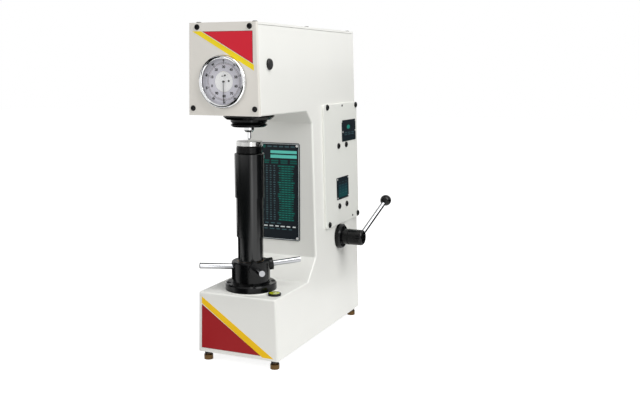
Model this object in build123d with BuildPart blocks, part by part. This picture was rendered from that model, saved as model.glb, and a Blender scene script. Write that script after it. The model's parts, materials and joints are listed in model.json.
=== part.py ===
"""Manual dead-weight hardness tester for the bench, in millimetres.

The origin is on the bench under the middle of the base.  +X is the operator's right, where the loading
lever is, -Y is the front with the dial, and +Z is up.
"""

import os
from math import atan2, cos, degrees, hypot, radians, sin

from build123d import *

os.makedirs("parts", exist_ok=True)

# ---------------------------------------------------------------- driving dimensions: body
height = 638.5
foot_height = 18.5
base_length = 423.0
base_width = 171.0
top_width = base_width - 36.0
base_top = foot_height + 118.5
head_bottom = height - 163.0
head_overhang = 35.5
column_front = -23.0
base_haunch = 42.0
head_haunch = 24.0
wall = 8.0
body_edge_radius = 4.0
level_edge_radius = 3.0
cover_thickness = 5.0
cover_gap = 0.8
front_plate_thickness = 5.0
side_cover_thickness = 4.0
rear_cover_thickness = 3.0

# ---------------------------------------------------------------- driving dimensions: test axis
test_axis_y = 59.0 - base_length / 2
screw_radius = 19.0
screw_travel = 105.0
screw_bottom = base_top - 13.5
screw_top = head_bottom - 72.0
capstan_radius = 43.0
capstan_core_radius = 37.0
bar_boss_radius = 12.0
capstan_bottom = base_top + 22.5
capstan_top = base_top + 56.5
bar_radius = 5.5
bar_reach = 99.0
bar_count = 4
bar_angle = 40.0
bar_tilt = 4.8
bar_height = base_top + 44.0
base_flange_radius = 49.5
flange_pad_height = 1.5
base_flange_height = 15.0
sleeve_wall = 1.8
upper_sleeve_radius = 28.5
upper_sleeve_top = screw_top - 3.0
upper_sleeve_bottom = upper_sleeve_top - 83.5
middle_sleeve_bottom = capstan_top + 47.5
middle_sleeve_top = upper_sleeve_bottom + 19.0
lower_sleeve_top = middle_sleeve_bottom + 16.5
anvil_radius = 24.5
anvil_thickness = 9.5
anvil_ring_radius = 24.0
anvil_ring_height = 11.0

# ---------------------------------------------------------------- driving dimensions: spindle
spindle_radius = 11.0
head_flange_radius = 48.0
head_flange_height = 11.0
collar_radius = 34.5
collar_height = 14.0
holder_radius = 9.5
holder_height = 10.0
indenter_radius = 4.0
indenter_length = 11.5
tip_length = 3.5

# ---------------------------------------------------------------- driving dimensions: dial gauge
dial_z = height - 103.0
case_radius = 44.5
bezel_radius = case_radius + 2.7
bezel_proud = 7.0
case_depth = 36.0
case_wall = 1.8
dial_recess = 10.0
inner_dial_radius = 18.0
pointer_length = 35.0
small_pointer_x = 3.0
small_pointer_rise = 11.0

# ---------------------------------------------------------------- driving dimensions: lever and weights
lever_axis_y = base_length / 2 - 109.0
lever_axis_z = foot_height + 183.0
side_flange_radius = 26.4
side_flange_thickness = 11.5
shaft_radius = 8.0
lever_hub_radius = 16.8
lever_hub_length = 46.0
rod_radius = 5.0
rod_lean = (28.0, 87.0, 70.0)
knob_radius = 12.0
lever_turn = 110.0
weight_drop = 10.5
cam_high_radius = 24.0
cam_width = 16.0
weight_radius = 58.0
weight_thicknesses = (26.0, 21.0, 26.0)
main_lever_bottom = height - 97.0
main_lever_depth = 18.0
main_lever_width = 22.0
lever_end_slope = 4.0
fulcrum_offset = 12.0
knife_height = 6.0
dashpot_y = base_length / 2 - 46.5
dashpot_radius = 22.0
gauge_arm_reach = 58.0

# ---------------------------------------------------------------- driving dimensions: small parts
foot_spread_x = base_width - 27.0
foot_spread_y = base_length - 30.0
foot_radius = 8.8
foot_stud_radius = 5.0
foot_disc_height = 9.0
foot_boss_radius = 11.0
button_radius = 5.0
button_height = 2.8
pin_screw_radius = 2.2
chart_width = 90.0
chart_height = head_bottom - base_top - 138.5
chart_middle_z = (head_bottom + base_top) / 2 + 3.75
chart_thickness = 1.5
level_x = base_width / 2 - 22.0
level_y = 33.0 - base_length / 2
level_radius = 12.5

# ---------------------------------------------------------------- clearances
running = 0.05
sliding = 0.3
seat_gap = 0.3
cam_gap = 0.5

# ---------------------------------------------------------------- worked-out places
rear = base_length / 2
front = -rear
head_front = front - head_overhang
casting_front = head_front + front_plate_thickness
casting_top = height - cover_thickness
taper = (base_width - top_width) / 2 / (height - foot_height)
taper_angle = degrees(atan2(base_width - top_width, 2 * (height - foot_height)))


def half_width(z):
    """Half the width of the tapered body at a height above the bench."""
    return base_width / 2 - taper * (z - foot_height)


def trapezoid(z_low, z_high, inset=0.0):
    """Corner points of the body seen from the front, between two heights."""
    low = half_width(z_low) - inset
    high = half_width(z_high) - inset
    return [(-low, z_low), (low, z_low), (high, z_high), (-high, z_high)]


def polar(radius, angle):
    """A point at a radius and an angle in degrees."""
    return (radius * cos(radians(angle)), radius * sin(radians(angle)))


def save(piece, name):
    """Label a finished piece and write its STEP file."""
    piece.part.label = name
    export_step(piece.part, f"parts/{name}.step")


# The right side of the body leans in by the taper: its own plane has +Y along and +Y local up the slope.
right_side = Plane(
    origin=(half_width(foot_height), 0, foot_height),
    x_dir=(0, 1, 0),
    z_dir=(cos(radians(taper_angle)), 0, sin(radians(taper_angle))),
)


def up_slope(z):
    """Distance along the leaning side from its foot to a height."""
    return (z - foot_height) / cos(radians(taper_angle))


test_axis = Plane(origin=(0, test_axis_y, 0), x_dir=(1, 0, 0), z_dir=(0, 0, 1))


# ---------------------------------------------------------------- frame casting
gauge_hole_radius = case_radius + 8.0
spindle_bush_radius = 17.0
guide_bush_radius = 25.0
side_boss_radius = 22.0
guide_boss_bottom = 100.0
bridge_z = main_lever_bottom + main_lever_depth + knife_height + seat_gap
bridge_y = test_axis_y - fulcrum_offset
bridge_length = 26.0
rear_window = (top_width - 39.0, base_top + 16.5, head_bottom - 32.0)
side_cover_y = (rear - 186.5, rear - 0.5)
side_cover_z = (lever_axis_z + side_flange_radius + 0.6, head_bottom + 10.0)
side_window = (140.0, side_cover_z[1] - side_cover_z[0] - 48.0)
lever_hole_radius = 14.0
top_opening_edge = 22.0
cover_screw_edge = 11.0
lug_height = 25.0
screw_seat = button_radius + 0.4
flange_seat_x = half_width(lever_axis_z + side_flange_radius)

with BuildPart() as cavity:
    with BuildSketch(Plane.YZ):
        with BuildLine():
            Polyline(
                (front + wall, 0),
                (rear - wall, 0),
                (rear - wall, casting_top - wall),
                (casting_front + wall, casting_top - wall),
                (casting_front + wall, head_bottom + wall),
                (column_front + wall, head_bottom + wall),
                (column_front + wall, base_top - wall),
                (front + wall, base_top - wall),
                close=True,
            )
        make_face()
    extrude(amount=base_width, both=True)
    with BuildSketch(Plane.XZ.offset(-base_length)):
        Polygon(*trapezoid(-wall, height, wall), align=None)
    extrude(amount=2 * base_length, mode=Mode.INTERSECT)

with BuildPart() as frame_casting:
    with BuildSketch(Plane.YZ):
        with BuildLine():
            Polyline(
                (front, foot_height),
                (rear, foot_height),
                (rear, casting_top),
                (casting_front, casting_top),
                (casting_front, head_bottom),
                (column_front - head_haunch, head_bottom),
                (column_front, head_bottom - head_haunch),
                (column_front, base_top + base_haunch),
                (column_front - base_haunch, base_top),
                (front, base_top),
                close=True,
            )
        make_face()
    extrude(amount=base_width, both=True)
    with BuildSketch(Plane.XZ.offset(-base_length)):
        Polygon(*trapezoid(foot_height, casting_top), align=None)
    extrude(amount=2 * base_length, mode=Mode.INTERSECT)
    upright = frame_casting.edges().filter_by(lambda e: abs(e.tangent_at(0.5).Z) > 0.99)
    fillet(upright, radius=body_edge_radius)
    # soft edges along the sides of the base, column and head, and along the front of the base
    side_edges = frame_casting.edges().filter_by(
        lambda e: abs(e.center().X) > top_width / 2 - 1
        and foot_height + 1 < e.center().Z < casting_top - 1
        and front + body_edge_radius + 1 < e.center().Y < rear - 1
    )
    fillet(side_edges, radius=level_edge_radius)
    add(cavity.part, mode=Mode.SUBTRACT)
    # raised pad under the screw flange
    with BuildSketch(test_axis.offset(base_top)):
        Circle(base_flange_radius + 2.5)
    extrude(amount=flange_pad_height)
    # corner bosses that take the studs of the feet
    with BuildSketch(Plane.XY.offset(foot_height)):
        with GridLocations(foot_spread_x, foot_spread_y, 2, 2):
            Circle(foot_boss_radius)
    extrude(amount=30)
    # bosses round the screw guide and the spindle bush
    with BuildSketch(test_axis.offset(guide_boss_bottom)):
        Circle(guide_bush_radius + wall)
    extrude(amount=base_top - guide_boss_bottom)
    with BuildSketch(test_axis.offset(head_bottom)):
        Circle(spindle_bush_radius + wall)
    extrude(amount=wall + 20)
    # boss behind the side wall for the lever bearing
    with BuildSketch(Plane.YZ.offset(half_width(lever_axis_z) - wall - 12)):
        with Locations((lever_axis_y, lever_axis_z)):
            Circle(side_boss_radius)
    extrude(amount=wall + 8)
    # lugs on the side walls of the head that carry the fulcrum bridge
    with BuildSketch(Plane.XY.offset(bridge_z - lug_height)):
        with Locations((-half_width(bridge_z) + wall + 3, bridge_y), (half_width(bridge_z) - wall - 3, bridge_y)):
            Rectangle(14, bridge_length)
    extrude(amount=lug_height)
    # openings: top of the head, dial, rear, side, bores and spot face
    with BuildSketch(Plane.XY.offset(casting_top - 2 * wall)):
        with Locations((0, (casting_front + rear) / 2)):
            RectangleRounded(top_width - 2 * top_opening_edge, rear - casting_front - 2 * top_opening_edge, 8)
    extrude(amount=3 * wall, mode=Mode.SUBTRACT)
    with BuildSketch(Plane.XZ.offset(-casting_front - 2 * wall)):
        with Locations((0, dial_z)):
            Circle(gauge_hole_radius)
    extrude(amount=3 * wall, mode=Mode.SUBTRACT)
    with BuildSketch(Plane.XZ.offset(-rear - wall)):
        with Locations((0, (rear_window[1] + rear_window[2]) / 2)):
            RectangleRounded(rear_window[0], rear_window[2] - rear_window[1], 8)
    extrude(amount=3 * wall, mode=Mode.SUBTRACT)
    with BuildSketch(Plane.XZ.offset(-rear)):
        with Locations((0, (rear_window[1] + rear_window[2]) / 2)):
            RectangleRounded(rear_window[0] + 24, rear_window[2] - rear_window[1] + 24, 8)
    extrude(amount=rear_cover_thickness, mode=Mode.SUBTRACT)
    with BuildSketch(right_side):
        with Locations((sum(side_cover_y) / 2, up_slope(sum(side_cover_z) / 2))):
            RectangleRounded(side_window[0], side_window[1], 8)
    extrude(amount=-2 * wall, mode=Mode.SUBTRACT)
    with BuildSketch(Plane.YZ.offset(flange_seat_x)):
        with Locations((lever_axis_y, lever_axis_z)):
            Circle(side_flange_radius + 0.6)
    extrude(amount=wall, mode=Mode.SUBTRACT)
    with BuildSketch(Plane.YZ.offset(flange_seat_x - 40)):
        with Locations((lever_axis_y, lever_axis_z)):
            Circle(lever_hole_radius)
    extrude(amount=48, mode=Mode.SUBTRACT)
    with BuildSketch(test_axis.offset(guide_boss_bottom - wall)):
        Circle(guide_bush_radius)
    extrude(amount=2 * base_top, mode=Mode.SUBTRACT)
    with BuildSketch(test_axis.offset(head_bottom - wall)):
        Circle(spindle_bush_radius)
    extrude(amount=60, mode=Mode.SUBTRACT)
    with BuildSketch(Plane.XY):
        with GridLocations(foot_spread_x, foot_spread_y, 2, 2):
            Circle(foot_stud_radius)
    extrude(amount=foot_height + 40, mode=Mode.SUBTRACT)
save(frame_casting, "frame_casting")

# ---------------------------------------------------------------- covers
with BuildPart() as top_cover:
    with BuildSketch(Plane.XZ.offset(-rear)):
        Polygon(*trapezoid(casting_top, height), align=None)
    extrude(amount=rear - casting_front)
    upright = top_cover.edges().filter_by(lambda e: abs(e.tangent_at(0.5).Z) > 0.99)
    fillet(upright.group_by(Axis.Y)[-1], radius=body_edge_radius)
    with BuildSketch(Plane.XY.offset(casting_top)):
        with Locations((0, (casting_front + rear) / 2)):
            Rectangle(base_width, 2 * base_length)
            Rectangle(top_width - 8, rear - casting_front - 8, mode=Mode.SUBTRACT)
    extrude(amount=cover_gap, mode=Mode.SUBTRACT)
save(top_cover, "top_cover")

front_screw_places = [
    (-top_width / 2 + 16.5, height - 7.7),
    (top_width / 2 - 13.5, height - 7.7),
    (-top_width / 2 + 5, head_bottom + 12.5),
    (top_width / 2 - 5, head_bottom + 12.5),
]
top_screw_height = 2.0
top_screw_spacing = (top_width - 2 * cover_screw_edge, (rear - casting_front - 2 * cover_screw_edge) / 2)
rear_screw_height = button_height - 0.6
with BuildPart() as front_plate:
    with BuildSketch(Plane.XZ.offset(-casting_front)):
        Polygon(*trapezoid(head_bottom, height), align=None)
        with Locations((0, dial_z)):
            Circle(case_radius + sliding, mode=Mode.SUBTRACT)
    extrude(amount=front_plate_thickness)
    upright = front_plate.edges().filter_by(lambda e: abs(e.tangent_at(0.5).Z) > 0.99)
    fillet(upright.group_by(Axis.Y)[0], radius=2.5)
save(front_plate, "front_plate")

rear_cover_middle = (rear_window[1] + rear_window[2]) / 2
rear_cover_size = (rear_window[0] + 23, rear_window[2] - rear_window[1] + 23)
with BuildPart() as rear_cover:
    with BuildSketch(Plane.XZ.offset(-rear)):
        with Locations((0, rear_cover_middle)):
            RectangleRounded(rear_cover_size[0], rear_cover_size[1], 8)
    extrude(amount=rear_cover_thickness)
    with BuildSketch(Plane.XZ.offset(-rear)):
        with Locations((0, rear_cover_middle)):
            with GridLocations(rear_cover_size[0] - 12, (rear_cover_size[1] - 12) / 2, 2, 3):
                Circle(screw_seat)
    extrude(amount=rear_screw_height, mode=Mode.SUBTRACT)
save(rear_cover, "rear_cover")

with BuildPart() as cover_screws:
    with BuildSketch(Plane.XZ.offset(-head_front)):
        with Locations(*front_screw_places):
            Circle(button_radius - 0.3)
    extrude(amount=button_height)
    fillet(cover_screws.edges().group_by(Axis.Y)[0], radius=1.2)
    with BuildSketch(Plane.XY.offset(height)):
        with Locations((0, (casting_front + rear) / 2)):
            with GridLocations(*top_screw_spacing, 2, 3):
                Circle(button_radius)
    extrude(amount=top_screw_height)
    with BuildSketch(Plane.XZ.offset(-rear)):
        with Locations((0, rear_cover_middle)):
            with GridLocations(rear_cover_size[0] - 12, (rear_cover_size[1] - 12) / 2, 2, 3):
                Circle(button_radius)
    extrude(amount=rear_screw_height)
save(cover_screws, "cover_screws")

side_cover_size = (side_cover_y[1] - side_cover_y[0], side_cover_z[1] - side_cover_z[0])
side_cover_middle = (sum(side_cover_y) / 2, up_slope(sum(side_cover_z) / 2))
with BuildPart() as side_cover:
    with BuildSketch(right_side):
        with Locations(side_cover_middle):
            RectangleRounded(side_cover_size[0], side_cover_size[1], 7)
    extrude(amount=side_cover_thickness)
    fillet(side_cover.faces().sort_by(Axis.X)[-1].outer_wire().edges(), radius=0.8)
save(side_cover, "side_cover")

side_face = right_side.offset(side_cover_thickness)
cover_front, cover_back = side_cover_y
cover_low, cover_high = side_cover_z
upper_plate = (cover_front + 135.5, cover_high - 61.5, 79.0, 41.0)
lower_plate = (cover_front + 93.0, cover_low + 76.5, 66.0, 47.0)
side_screw_places = [
    (cover_front + 19, cover_high - 6),
    (cover_back - 7, cover_high - 6),
    (cover_front + 17, cover_low + 7),
    (cover_back - 6, cover_low + 8),
]
panel_screw_places = [
    (upper_plate[0] - 60.5, upper_plate[1] - 27.8),
    (upper_plate[0] - 17.5, upper_plate[1] - 27.8),
    (lower_plate[0] - 20, lower_plate[1] - 37.8),
    (lower_plate[0] + 21, lower_plate[1] - 37.8),
]
cover_pin_places = [(cover_front + 100, cover_high - 5), (cover_front + 148, cover_low + 8)]
with BuildPart() as side_screws:
    with BuildSketch(side_face):
        with Locations(*[(y, up_slope(z)) for y, z in side_screw_places + panel_screw_places]):
            Circle(button_radius)
    extrude(amount=button_height)
    fillet(side_screws.faces().filter_by(lambda f: f.normal_at().X > 0.99).edges(), radius=1.2)
    with BuildSketch(side_face):
        with Locations(*[(y, up_slope(z)) for y, z in cover_pin_places]):
            Circle(pin_screw_radius)
    extrude(amount=1.4)
save(side_screws, "side_screws")

# ---------------------------------------------------------------- plates on the side cover
plate_thickness = 1.0
with BuildPart() as label_plates:
    for middle_y, middle_z, length, tall in (upper_plate, lower_plate):
        with BuildSketch(side_face):
            with Locations((middle_y, up_slope(middle_z))):
                RectangleRounded(length, tall, 2)
        extrude(amount=plate_thickness)
save(label_plates, "label_plates")

rivet_places = [(upper_plate[0] - 36, upper_plate[1]), (upper_plate[0] + 36, upper_plate[1])]
for side in (-1, 1):
    for level in (-1, 1):
        rivet_places.append((lower_plate[0] + side * 29.5, lower_plate[1] + level * 20))

side_plug_place = (head_front + 42.5, dial_z + 30.5)
side_plug_radius = 10.0
with BuildPart() as side_plug:
    with BuildSketch(right_side):
        with Locations((side_plug_place[0], up_slope(side_plug_place[1]))):
            Circle(side_plug_radius)
    extrude(amount=4.5)
    fillet(side_plug.faces().sort_by(Axis.X)[-1].edges(), radius=3.0)
save(side_plug, "side_plug")

# ---------------------------------------------------------------- chart plate on the column
with BuildPart() as chart_plate:
    with BuildSketch(Plane.XZ.offset(-column_front)):
        with Locations((0, chart_middle_z)):
            RectangleRounded(chart_width, chart_height, 4)
    extrude(amount=chart_thickness)
save(chart_plate, "chart_plate")

with BuildPart() as plate_screws:
    with BuildSketch(Plane.XZ.offset(-column_front + chart_thickness)):
        with Locations((0, chart_middle_z)):
            with GridLocations(chart_width - 11, chart_height - 11, 2, 2):
                Circle(2.4)
    extrude(amount=1.2)
    with BuildSketch(side_face.offset(plate_thickness)):
        with Locations(*[(y, up_slope(z)) for y, z in rivet_places]):
            Circle(1.6)
    extrude(amount=0.8)
save(plate_screws, "plate_screws")

# ---------------------------------------------------------------- dial gauge in the head
dial_axis = Plane(origin=(0, 0, dial_z), x_dir=(1, 0, 0), z_dir=(0, -1, 0))
case_front = -head_front + 3.0
case_back = case_front - case_depth
bezel_front = -head_front + bezel_proud
face_front = bezel_front - dial_recess
plunger_y = bridge_y - gauge_arm_reach
plunger_radius = 2.5
stem_top = dial_z + case_radius + 10
plunger_top = stem_top + 8
arbor_radius = 1.5


def ring(plane, low, high, outer, inner=0.0):
    """A plain disc or ring between two distances along a plane's normal."""
    with BuildPart() as piece:
        with BuildSketch(plane.offset(low)):
            Circle(outer)
            if inner > 0:
                Circle(inner, mode=Mode.SUBTRACT)
        extrude(amount=high - low)
    return piece


with BuildPart() as gauge_case:
    with BuildSketch(dial_axis.offset(case_back)):
        Circle(case_radius)
    extrude(amount=case_depth)
    with BuildSketch(dial_axis.offset(-casting_front - 3)):
        Circle(gauge_hole_radius - 2)
    extrude(amount=3)
    with BuildSketch(Plane(origin=(0, plunger_y, dial_z))):
        Circle(plunger_radius * 2)
    extrude(amount=stem_top - dial_z)
    with BuildSketch(dial_axis.offset(case_back + case_wall)):
        Circle(case_radius - case_wall)
    extrude(amount=case_depth, mode=Mode.SUBTRACT)
    with BuildSketch(Plane(origin=(0, plunger_y, dial_z))):
        Circle(plunger_radius + running)
    extrude(amount=2 * case_radius, mode=Mode.SUBTRACT)
save(gauge_case, "gauge_case")

movement_back = case_back + case_wall
with BuildPart() as gauge_movement:
    with BuildSketch(dial_axis.offset(movement_back)):
        Circle(26)
        Circle(arbor_radius + running, mode=Mode.SUBTRACT)
    extrude(amount=2)
    with BuildSketch(dial_axis.offset(face_front - 5)):
        Circle(26)
        Circle(arbor_radius + running, mode=Mode.SUBTRACT)
        with Locations((small_pointer_x, small_pointer_rise)):
            Circle(1 + running, mode=Mode.SUBTRACT)
    extrude(amount=2)
    with BuildSketch(dial_axis.offset(movement_back + 2)):
        with PolarLocations(22, 3, start_angle=30):
            Circle(2.5)
    extrude(amount=face_front - 5 - movement_back - 2)
save(gauge_movement, "gauge_movement")

# the middle of the dial stays with the movement, and the outer scale turns with the bezel
with BuildPart() as inner_dial:
    with BuildSketch(dial_axis.offset(face_front - 3)):
        Circle(inner_dial_radius)
        Circle(arbor_radius + running, mode=Mode.SUBTRACT)
        with Locations((small_pointer_x, small_pointer_rise)):
            Circle(1 + running, mode=Mode.SUBTRACT)
    extrude(amount=3)
save(inner_dial, "inner_dial")

with BuildPart() as bezel:
    with BuildSketch(dial_axis.offset(-head_front + sliding)):
        Circle(bezel_radius)
    extrude(amount=bezel_proud - sliding)
    chamfer(bezel.edges().group_by(Axis.Y)[0], length=2.2)
    with BuildSketch(dial_axis.offset(-head_front)):
        Circle(case_radius + sliding)
    extrude(amount=3.0 + sliding, mode=Mode.SUBTRACT)
    with BuildSketch(dial_axis.offset(-head_front)):
        Circle(case_radius - case_wall)
    extrude(amount=2 * bezel_proud, mode=Mode.SUBTRACT)
    with BuildSketch(dial_axis.offset(bezel_front - 3.4)):
        Circle(case_radius - 1.4)
    extrude(amount=1.6, mode=Mode.SUBTRACT)
save(bezel, "bezel")

save(ring(dial_axis, bezel_front - 3.4, bezel_front - 1.8, case_radius - 1.4), "dial_glass")
with BuildPart() as dial_face:
    with BuildSketch(dial_axis.offset(face_front - 1)):
        Circle(case_radius - case_wall)
        Circle(inner_dial_radius + sliding, mode=Mode.SUBTRACT)
    extrude(amount=1)
save(dial_face, "dial_face")

with BuildPart() as pointer:
    with BuildSketch(dial_axis.offset(movement_back + 0.5)):
        Circle(arbor_radius)
    extrude(amount=face_front - movement_back + 1.5)
    with BuildSketch(dial_axis.offset(face_front + 2.0)):
        Circle(3.0)
        with BuildLine():
            Polyline((-1.4, 6), (1.4, 6), (0.45, -pointer_length), (-0.45, -pointer_length), close=True)
        make_face()
    extrude(amount=0.8)
save(pointer, "pointer")

small_dial_axis = Plane(origin=(small_pointer_x, 0, dial_z + small_pointer_rise), x_dir=(1, 0, 0), z_dir=(0, -1, 0))
with BuildPart() as small_pointer:
    with BuildSketch(small_dial_axis.offset(face_front - 5)):
        Circle(1)
    extrude(amount=6)
    with BuildSketch(small_dial_axis.offset(face_front + 0.8)):
        Circle(1.6)
        with BuildLine():
            Polyline((0.5, 1.4), (1.2, -1.0), (-4.5, -2.0), close=True)
        make_face()
    extrude(amount=0.6)
save(small_pointer, "small_pointer")

with BuildPart() as gauge_plunger:
    with BuildSketch(Plane(origin=(0, plunger_y, dial_z + 8))):
        Circle(plunger_radius)
    extrude(amount=plunger_top - dial_z - 8)
    fillet(gauge_plunger.edges().group_by(Axis.Z)[-1], radius=1.2)
save(gauge_plunger, "gauge_plunger")

# ---------------------------------------------------------------- screw, capstan and sleeves
flange_bottom = base_top + flange_pad_height
flange_screw_head = 4.4
flange_screw_radius = base_flange_radius - 7.0
flange_screw_turn = 32.0
flange_top = flange_bottom + base_flange_height
bearing_top = capstan_bottom
bearing_half = (bearing_top - flange_top) / 2
key_width = 6.0
race_radius = guide_bush_radius + 6.0
skirt_radius = 35.5
key_depth = 3.0

with BuildPart() as screw_base_flange:
    with BuildSketch(test_axis.offset(flange_bottom)):
        Circle(base_flange_radius)
    extrude(amount=base_flange_height - 2)
    chamfer(screw_base_flange.edges().group_by(Axis.Z)[-1], length=2.5)
    with BuildSketch(test_axis.offset(flange_bottom + base_flange_height - 2)):
        Circle(skirt_radius + 1)
    extrude(amount=2)
    with BuildSketch(test_axis.offset(flange_bottom)):
        Circle(guide_bush_radius)
    extrude(amount=base_flange_height, mode=Mode.SUBTRACT)
    with BuildSketch(test_axis.offset(flange_bottom + base_flange_height - 2)):
        with PolarLocations(flange_screw_radius, 4, start_angle=flange_screw_turn):
            Circle(flange_screw_head)
    extrude(amount=-4, mode=Mode.SUBTRACT)
save(screw_base_flange, "screw_base_flange")

with BuildPart() as guide_bushes:
    with BuildSketch(test_axis.offset(guide_boss_bottom)):
        Circle(guide_bush_radius)
        Circle(screw_radius + running, mode=Mode.SUBTRACT)
        with Locations((0, screw_radius + 1)):
            Rectangle(key_width, 4, mode=Mode.SUBTRACT)
    extrude(amount=flange_top - guide_boss_bottom)
    with BuildSketch(test_axis.offset(head_bottom - head_flange_height)):
        Circle(spindle_bush_radius)
        Circle(spindle_radius + running, mode=Mode.SUBTRACT)
    extrude(amount=head_flange_height + wall + 20)
save(guide_bushes, "guide_bushes")

with BuildPart() as guide_key:
    with BuildSketch(test_axis.offset(screw_bottom + 4)):
        with Locations((0, screw_radius - key_depth + 0.5 + (key_depth + 2.5) / 2)):
            Rectangle(key_width, key_depth + 2.5)
    extrude(amount=24)
save(guide_key, "guide_key")

with BuildPart() as elevating_screw:
    with BuildSketch(test_axis.offset(screw_bottom)):
        Circle(screw_radius)
    extrude(amount=upper_sleeve_top - 4 - screw_bottom)
    chamfer(elevating_screw.edges().group_by(Axis.Z)[0], length=1.5)
    with BuildSketch(test_axis.offset(screw_bottom)):
        with Locations((0, screw_radius)):
            Rectangle(key_width + 2 * running, 2 * key_depth)
    extrude(amount=screw_travel + 45, mode=Mode.SUBTRACT)
    with BuildSketch(test_axis.offset(upper_sleeve_top - 4)):
        Circle(screw_radius - 3)
    extrude(amount=screw_top - upper_sleeve_top + 4 + anvil_ring_height)
    with BuildSketch(test_axis.offset(screw_top - 20)):
        Circle(9)
    extrude(amount=40, mode=Mode.SUBTRACT)
save(elevating_screw, "elevating_screw")

ring_bottom = upper_sleeve_top
ring_top = screw_top + anvil_ring_height
with BuildPart() as anvil_ring:
    with BuildSketch(test_axis.offset(ring_bottom)):
        Circle(anvil_ring_radius)
        Circle(screw_radius - 3, mode=Mode.SUBTRACT)
    extrude(amount=ring_top - ring_bottom)
    chamfer(anvil_ring.edges().group_by(Axis.Z)[-1].sort_by(SortBy.RADIUS)[-1], length=1.5)
    chamfer(anvil_ring.edges().group_by(Axis.Z)[0].sort_by(SortBy.RADIUS)[-1], length=2.0)
save(anvil_ring, "anvil_ring")

with BuildPart() as anvil:
    with BuildSketch(test_axis.offset(ring_top)):
        Circle(anvil_radius)
    extrude(amount=anvil_thickness)
    chamfer(anvil.edges(), length=0.8)
    with BuildSketch(test_axis.offset(ring_top)):
        Circle(9)
    extrude(amount=-(ring_top - screw_top + 18))
save(anvil, "anvil")

with BuildPart() as upper_sleeve:
    with BuildSketch(test_axis.offset(upper_sleeve_bottom)):
        Circle(upper_sleeve_radius)
    extrude(amount=upper_sleeve_top - upper_sleeve_bottom)
    chamfer(upper_sleeve.edges().group_by(Axis.Z)[-1], length=1.0)
    with BuildSketch(test_axis.offset(upper_sleeve_bottom)):
        Circle(upper_sleeve_radius - sleeve_wall)
    extrude(amount=upper_sleeve_top - upper_sleeve_bottom - 4, mode=Mode.SUBTRACT)
    with BuildSketch(test_axis.offset(upper_sleeve_top)):
        Circle(screw_radius - 3)
    extrude(amount=-10, mode=Mode.SUBTRACT)
save(upper_sleeve, "upper_sleeve")

middle_sleeve_radius = upper_sleeve_radius - sleeve_wall - sliding
lower_sleeve_radius = middle_sleeve_radius - sleeve_wall - sliding
save(
    ring(
        test_axis,
        middle_sleeve_bottom,
        middle_sleeve_top,
        middle_sleeve_radius,
        middle_sleeve_radius - sleeve_wall,
    ),
    "middle_sleeve",
)
save(
    ring(test_axis, capstan_top, lower_sleeve_top, lower_sleeve_radius, lower_sleeve_radius - sleeve_wall),
    "lower_sleeve",
)

nut_radius = screw_radius + 6


def bar_plane(number):
    """The plane across one capstan bar at the screw axis, with its normal along the bar."""
    turn = radians(bar_angle + number * 360 / bar_count)
    return Plane(
        origin=(0, test_axis_y, bar_height),
        x_dir=(-sin(turn), cos(turn), 0),
        z_dir=(cos(turn), sin(turn), sin(radians(bar_tilt))),
    )


with BuildPart() as capstan_hub:
    with BuildSketch(test_axis.offset(capstan_bottom)):
        Circle(capstan_core_radius)
    extrude(amount=capstan_top - capstan_bottom)
    chamfer(capstan_hub.edges().group_by(Axis.Z)[-1], length=2)
    with BuildSketch(test_axis.offset(flange_top + seat_gap)):
        Circle(skirt_radius)
    extrude(amount=capstan_bottom - flange_top - seat_gap)
    for number in range(bar_count):
        with BuildSketch(bar_plane(number).offset(nut_radius + 3)):
            Circle(bar_boss_radius)
        extrude(amount=capstan_radius - nut_radius - 3)
    with BuildSketch(test_axis.offset(capstan_bottom - 20)):
        Circle(nut_radius)
    extrude(amount=capstan_top - capstan_bottom + 40, mode=Mode.SUBTRACT)
    with BuildSketch(test_axis.offset(flange_top)):
        Circle(race_radius + sliding)
    extrude(amount=capstan_bottom - flange_top, mode=Mode.SUBTRACT)
    for number in range(bar_count):
        with BuildSketch(bar_plane(number).offset(nut_radius + 3)):
            Circle(bar_radius)
        extrude(amount=capstan_radius, mode=Mode.SUBTRACT)
save(capstan_hub, "capstan_hub")

with BuildPart() as capstan_bars:
    for number in range(bar_count):
        with BuildSketch(bar_plane(number).offset(nut_radius + 3)):
            Circle(bar_radius)
        extrude(amount=bar_reach - nut_radius - 3)
save(capstan_bars, "capstan_bars")
save(
    ring(test_axis, capstan_bottom, capstan_top, nut_radius, screw_radius + running),
    "capstan_nut",
)
save(
    ring(test_axis, flange_top, flange_top + bearing_half - 0.1, race_radius, screw_radius + 1),
    "bearing_lower_race",
)
save(
    ring(test_axis, bearing_top - bearing_half + 0.1, bearing_top, race_radius, screw_radius + 1),
    "bearing_upper_race",
)

# ---------------------------------------------------------------- spindle and indenter under the head
collar_top = head_bottom - head_flange_height
collar_bottom = collar_top - collar_height
holder_bottom = collar_bottom - holder_height
tip_top = holder_bottom - indenter_length
spindle_bottom = collar_bottom + 2
spindle_top = main_lever_bottom - seat_gap

with BuildPart() as head_flange:
    with BuildSketch(test_axis.offset(collar_top)):
        Circle(head_flange_radius)
    extrude(amount=head_flange_height)
    chamfer(head_flange.edges().group_by(Axis.Z)[0], length=5, length2=6)
    with BuildSketch(test_axis.offset(collar_top)):
        Circle(spindle_bush_radius)
    extrude(amount=head_flange_height, mode=Mode.SUBTRACT)
save(head_flange, "head_flange")

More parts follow.
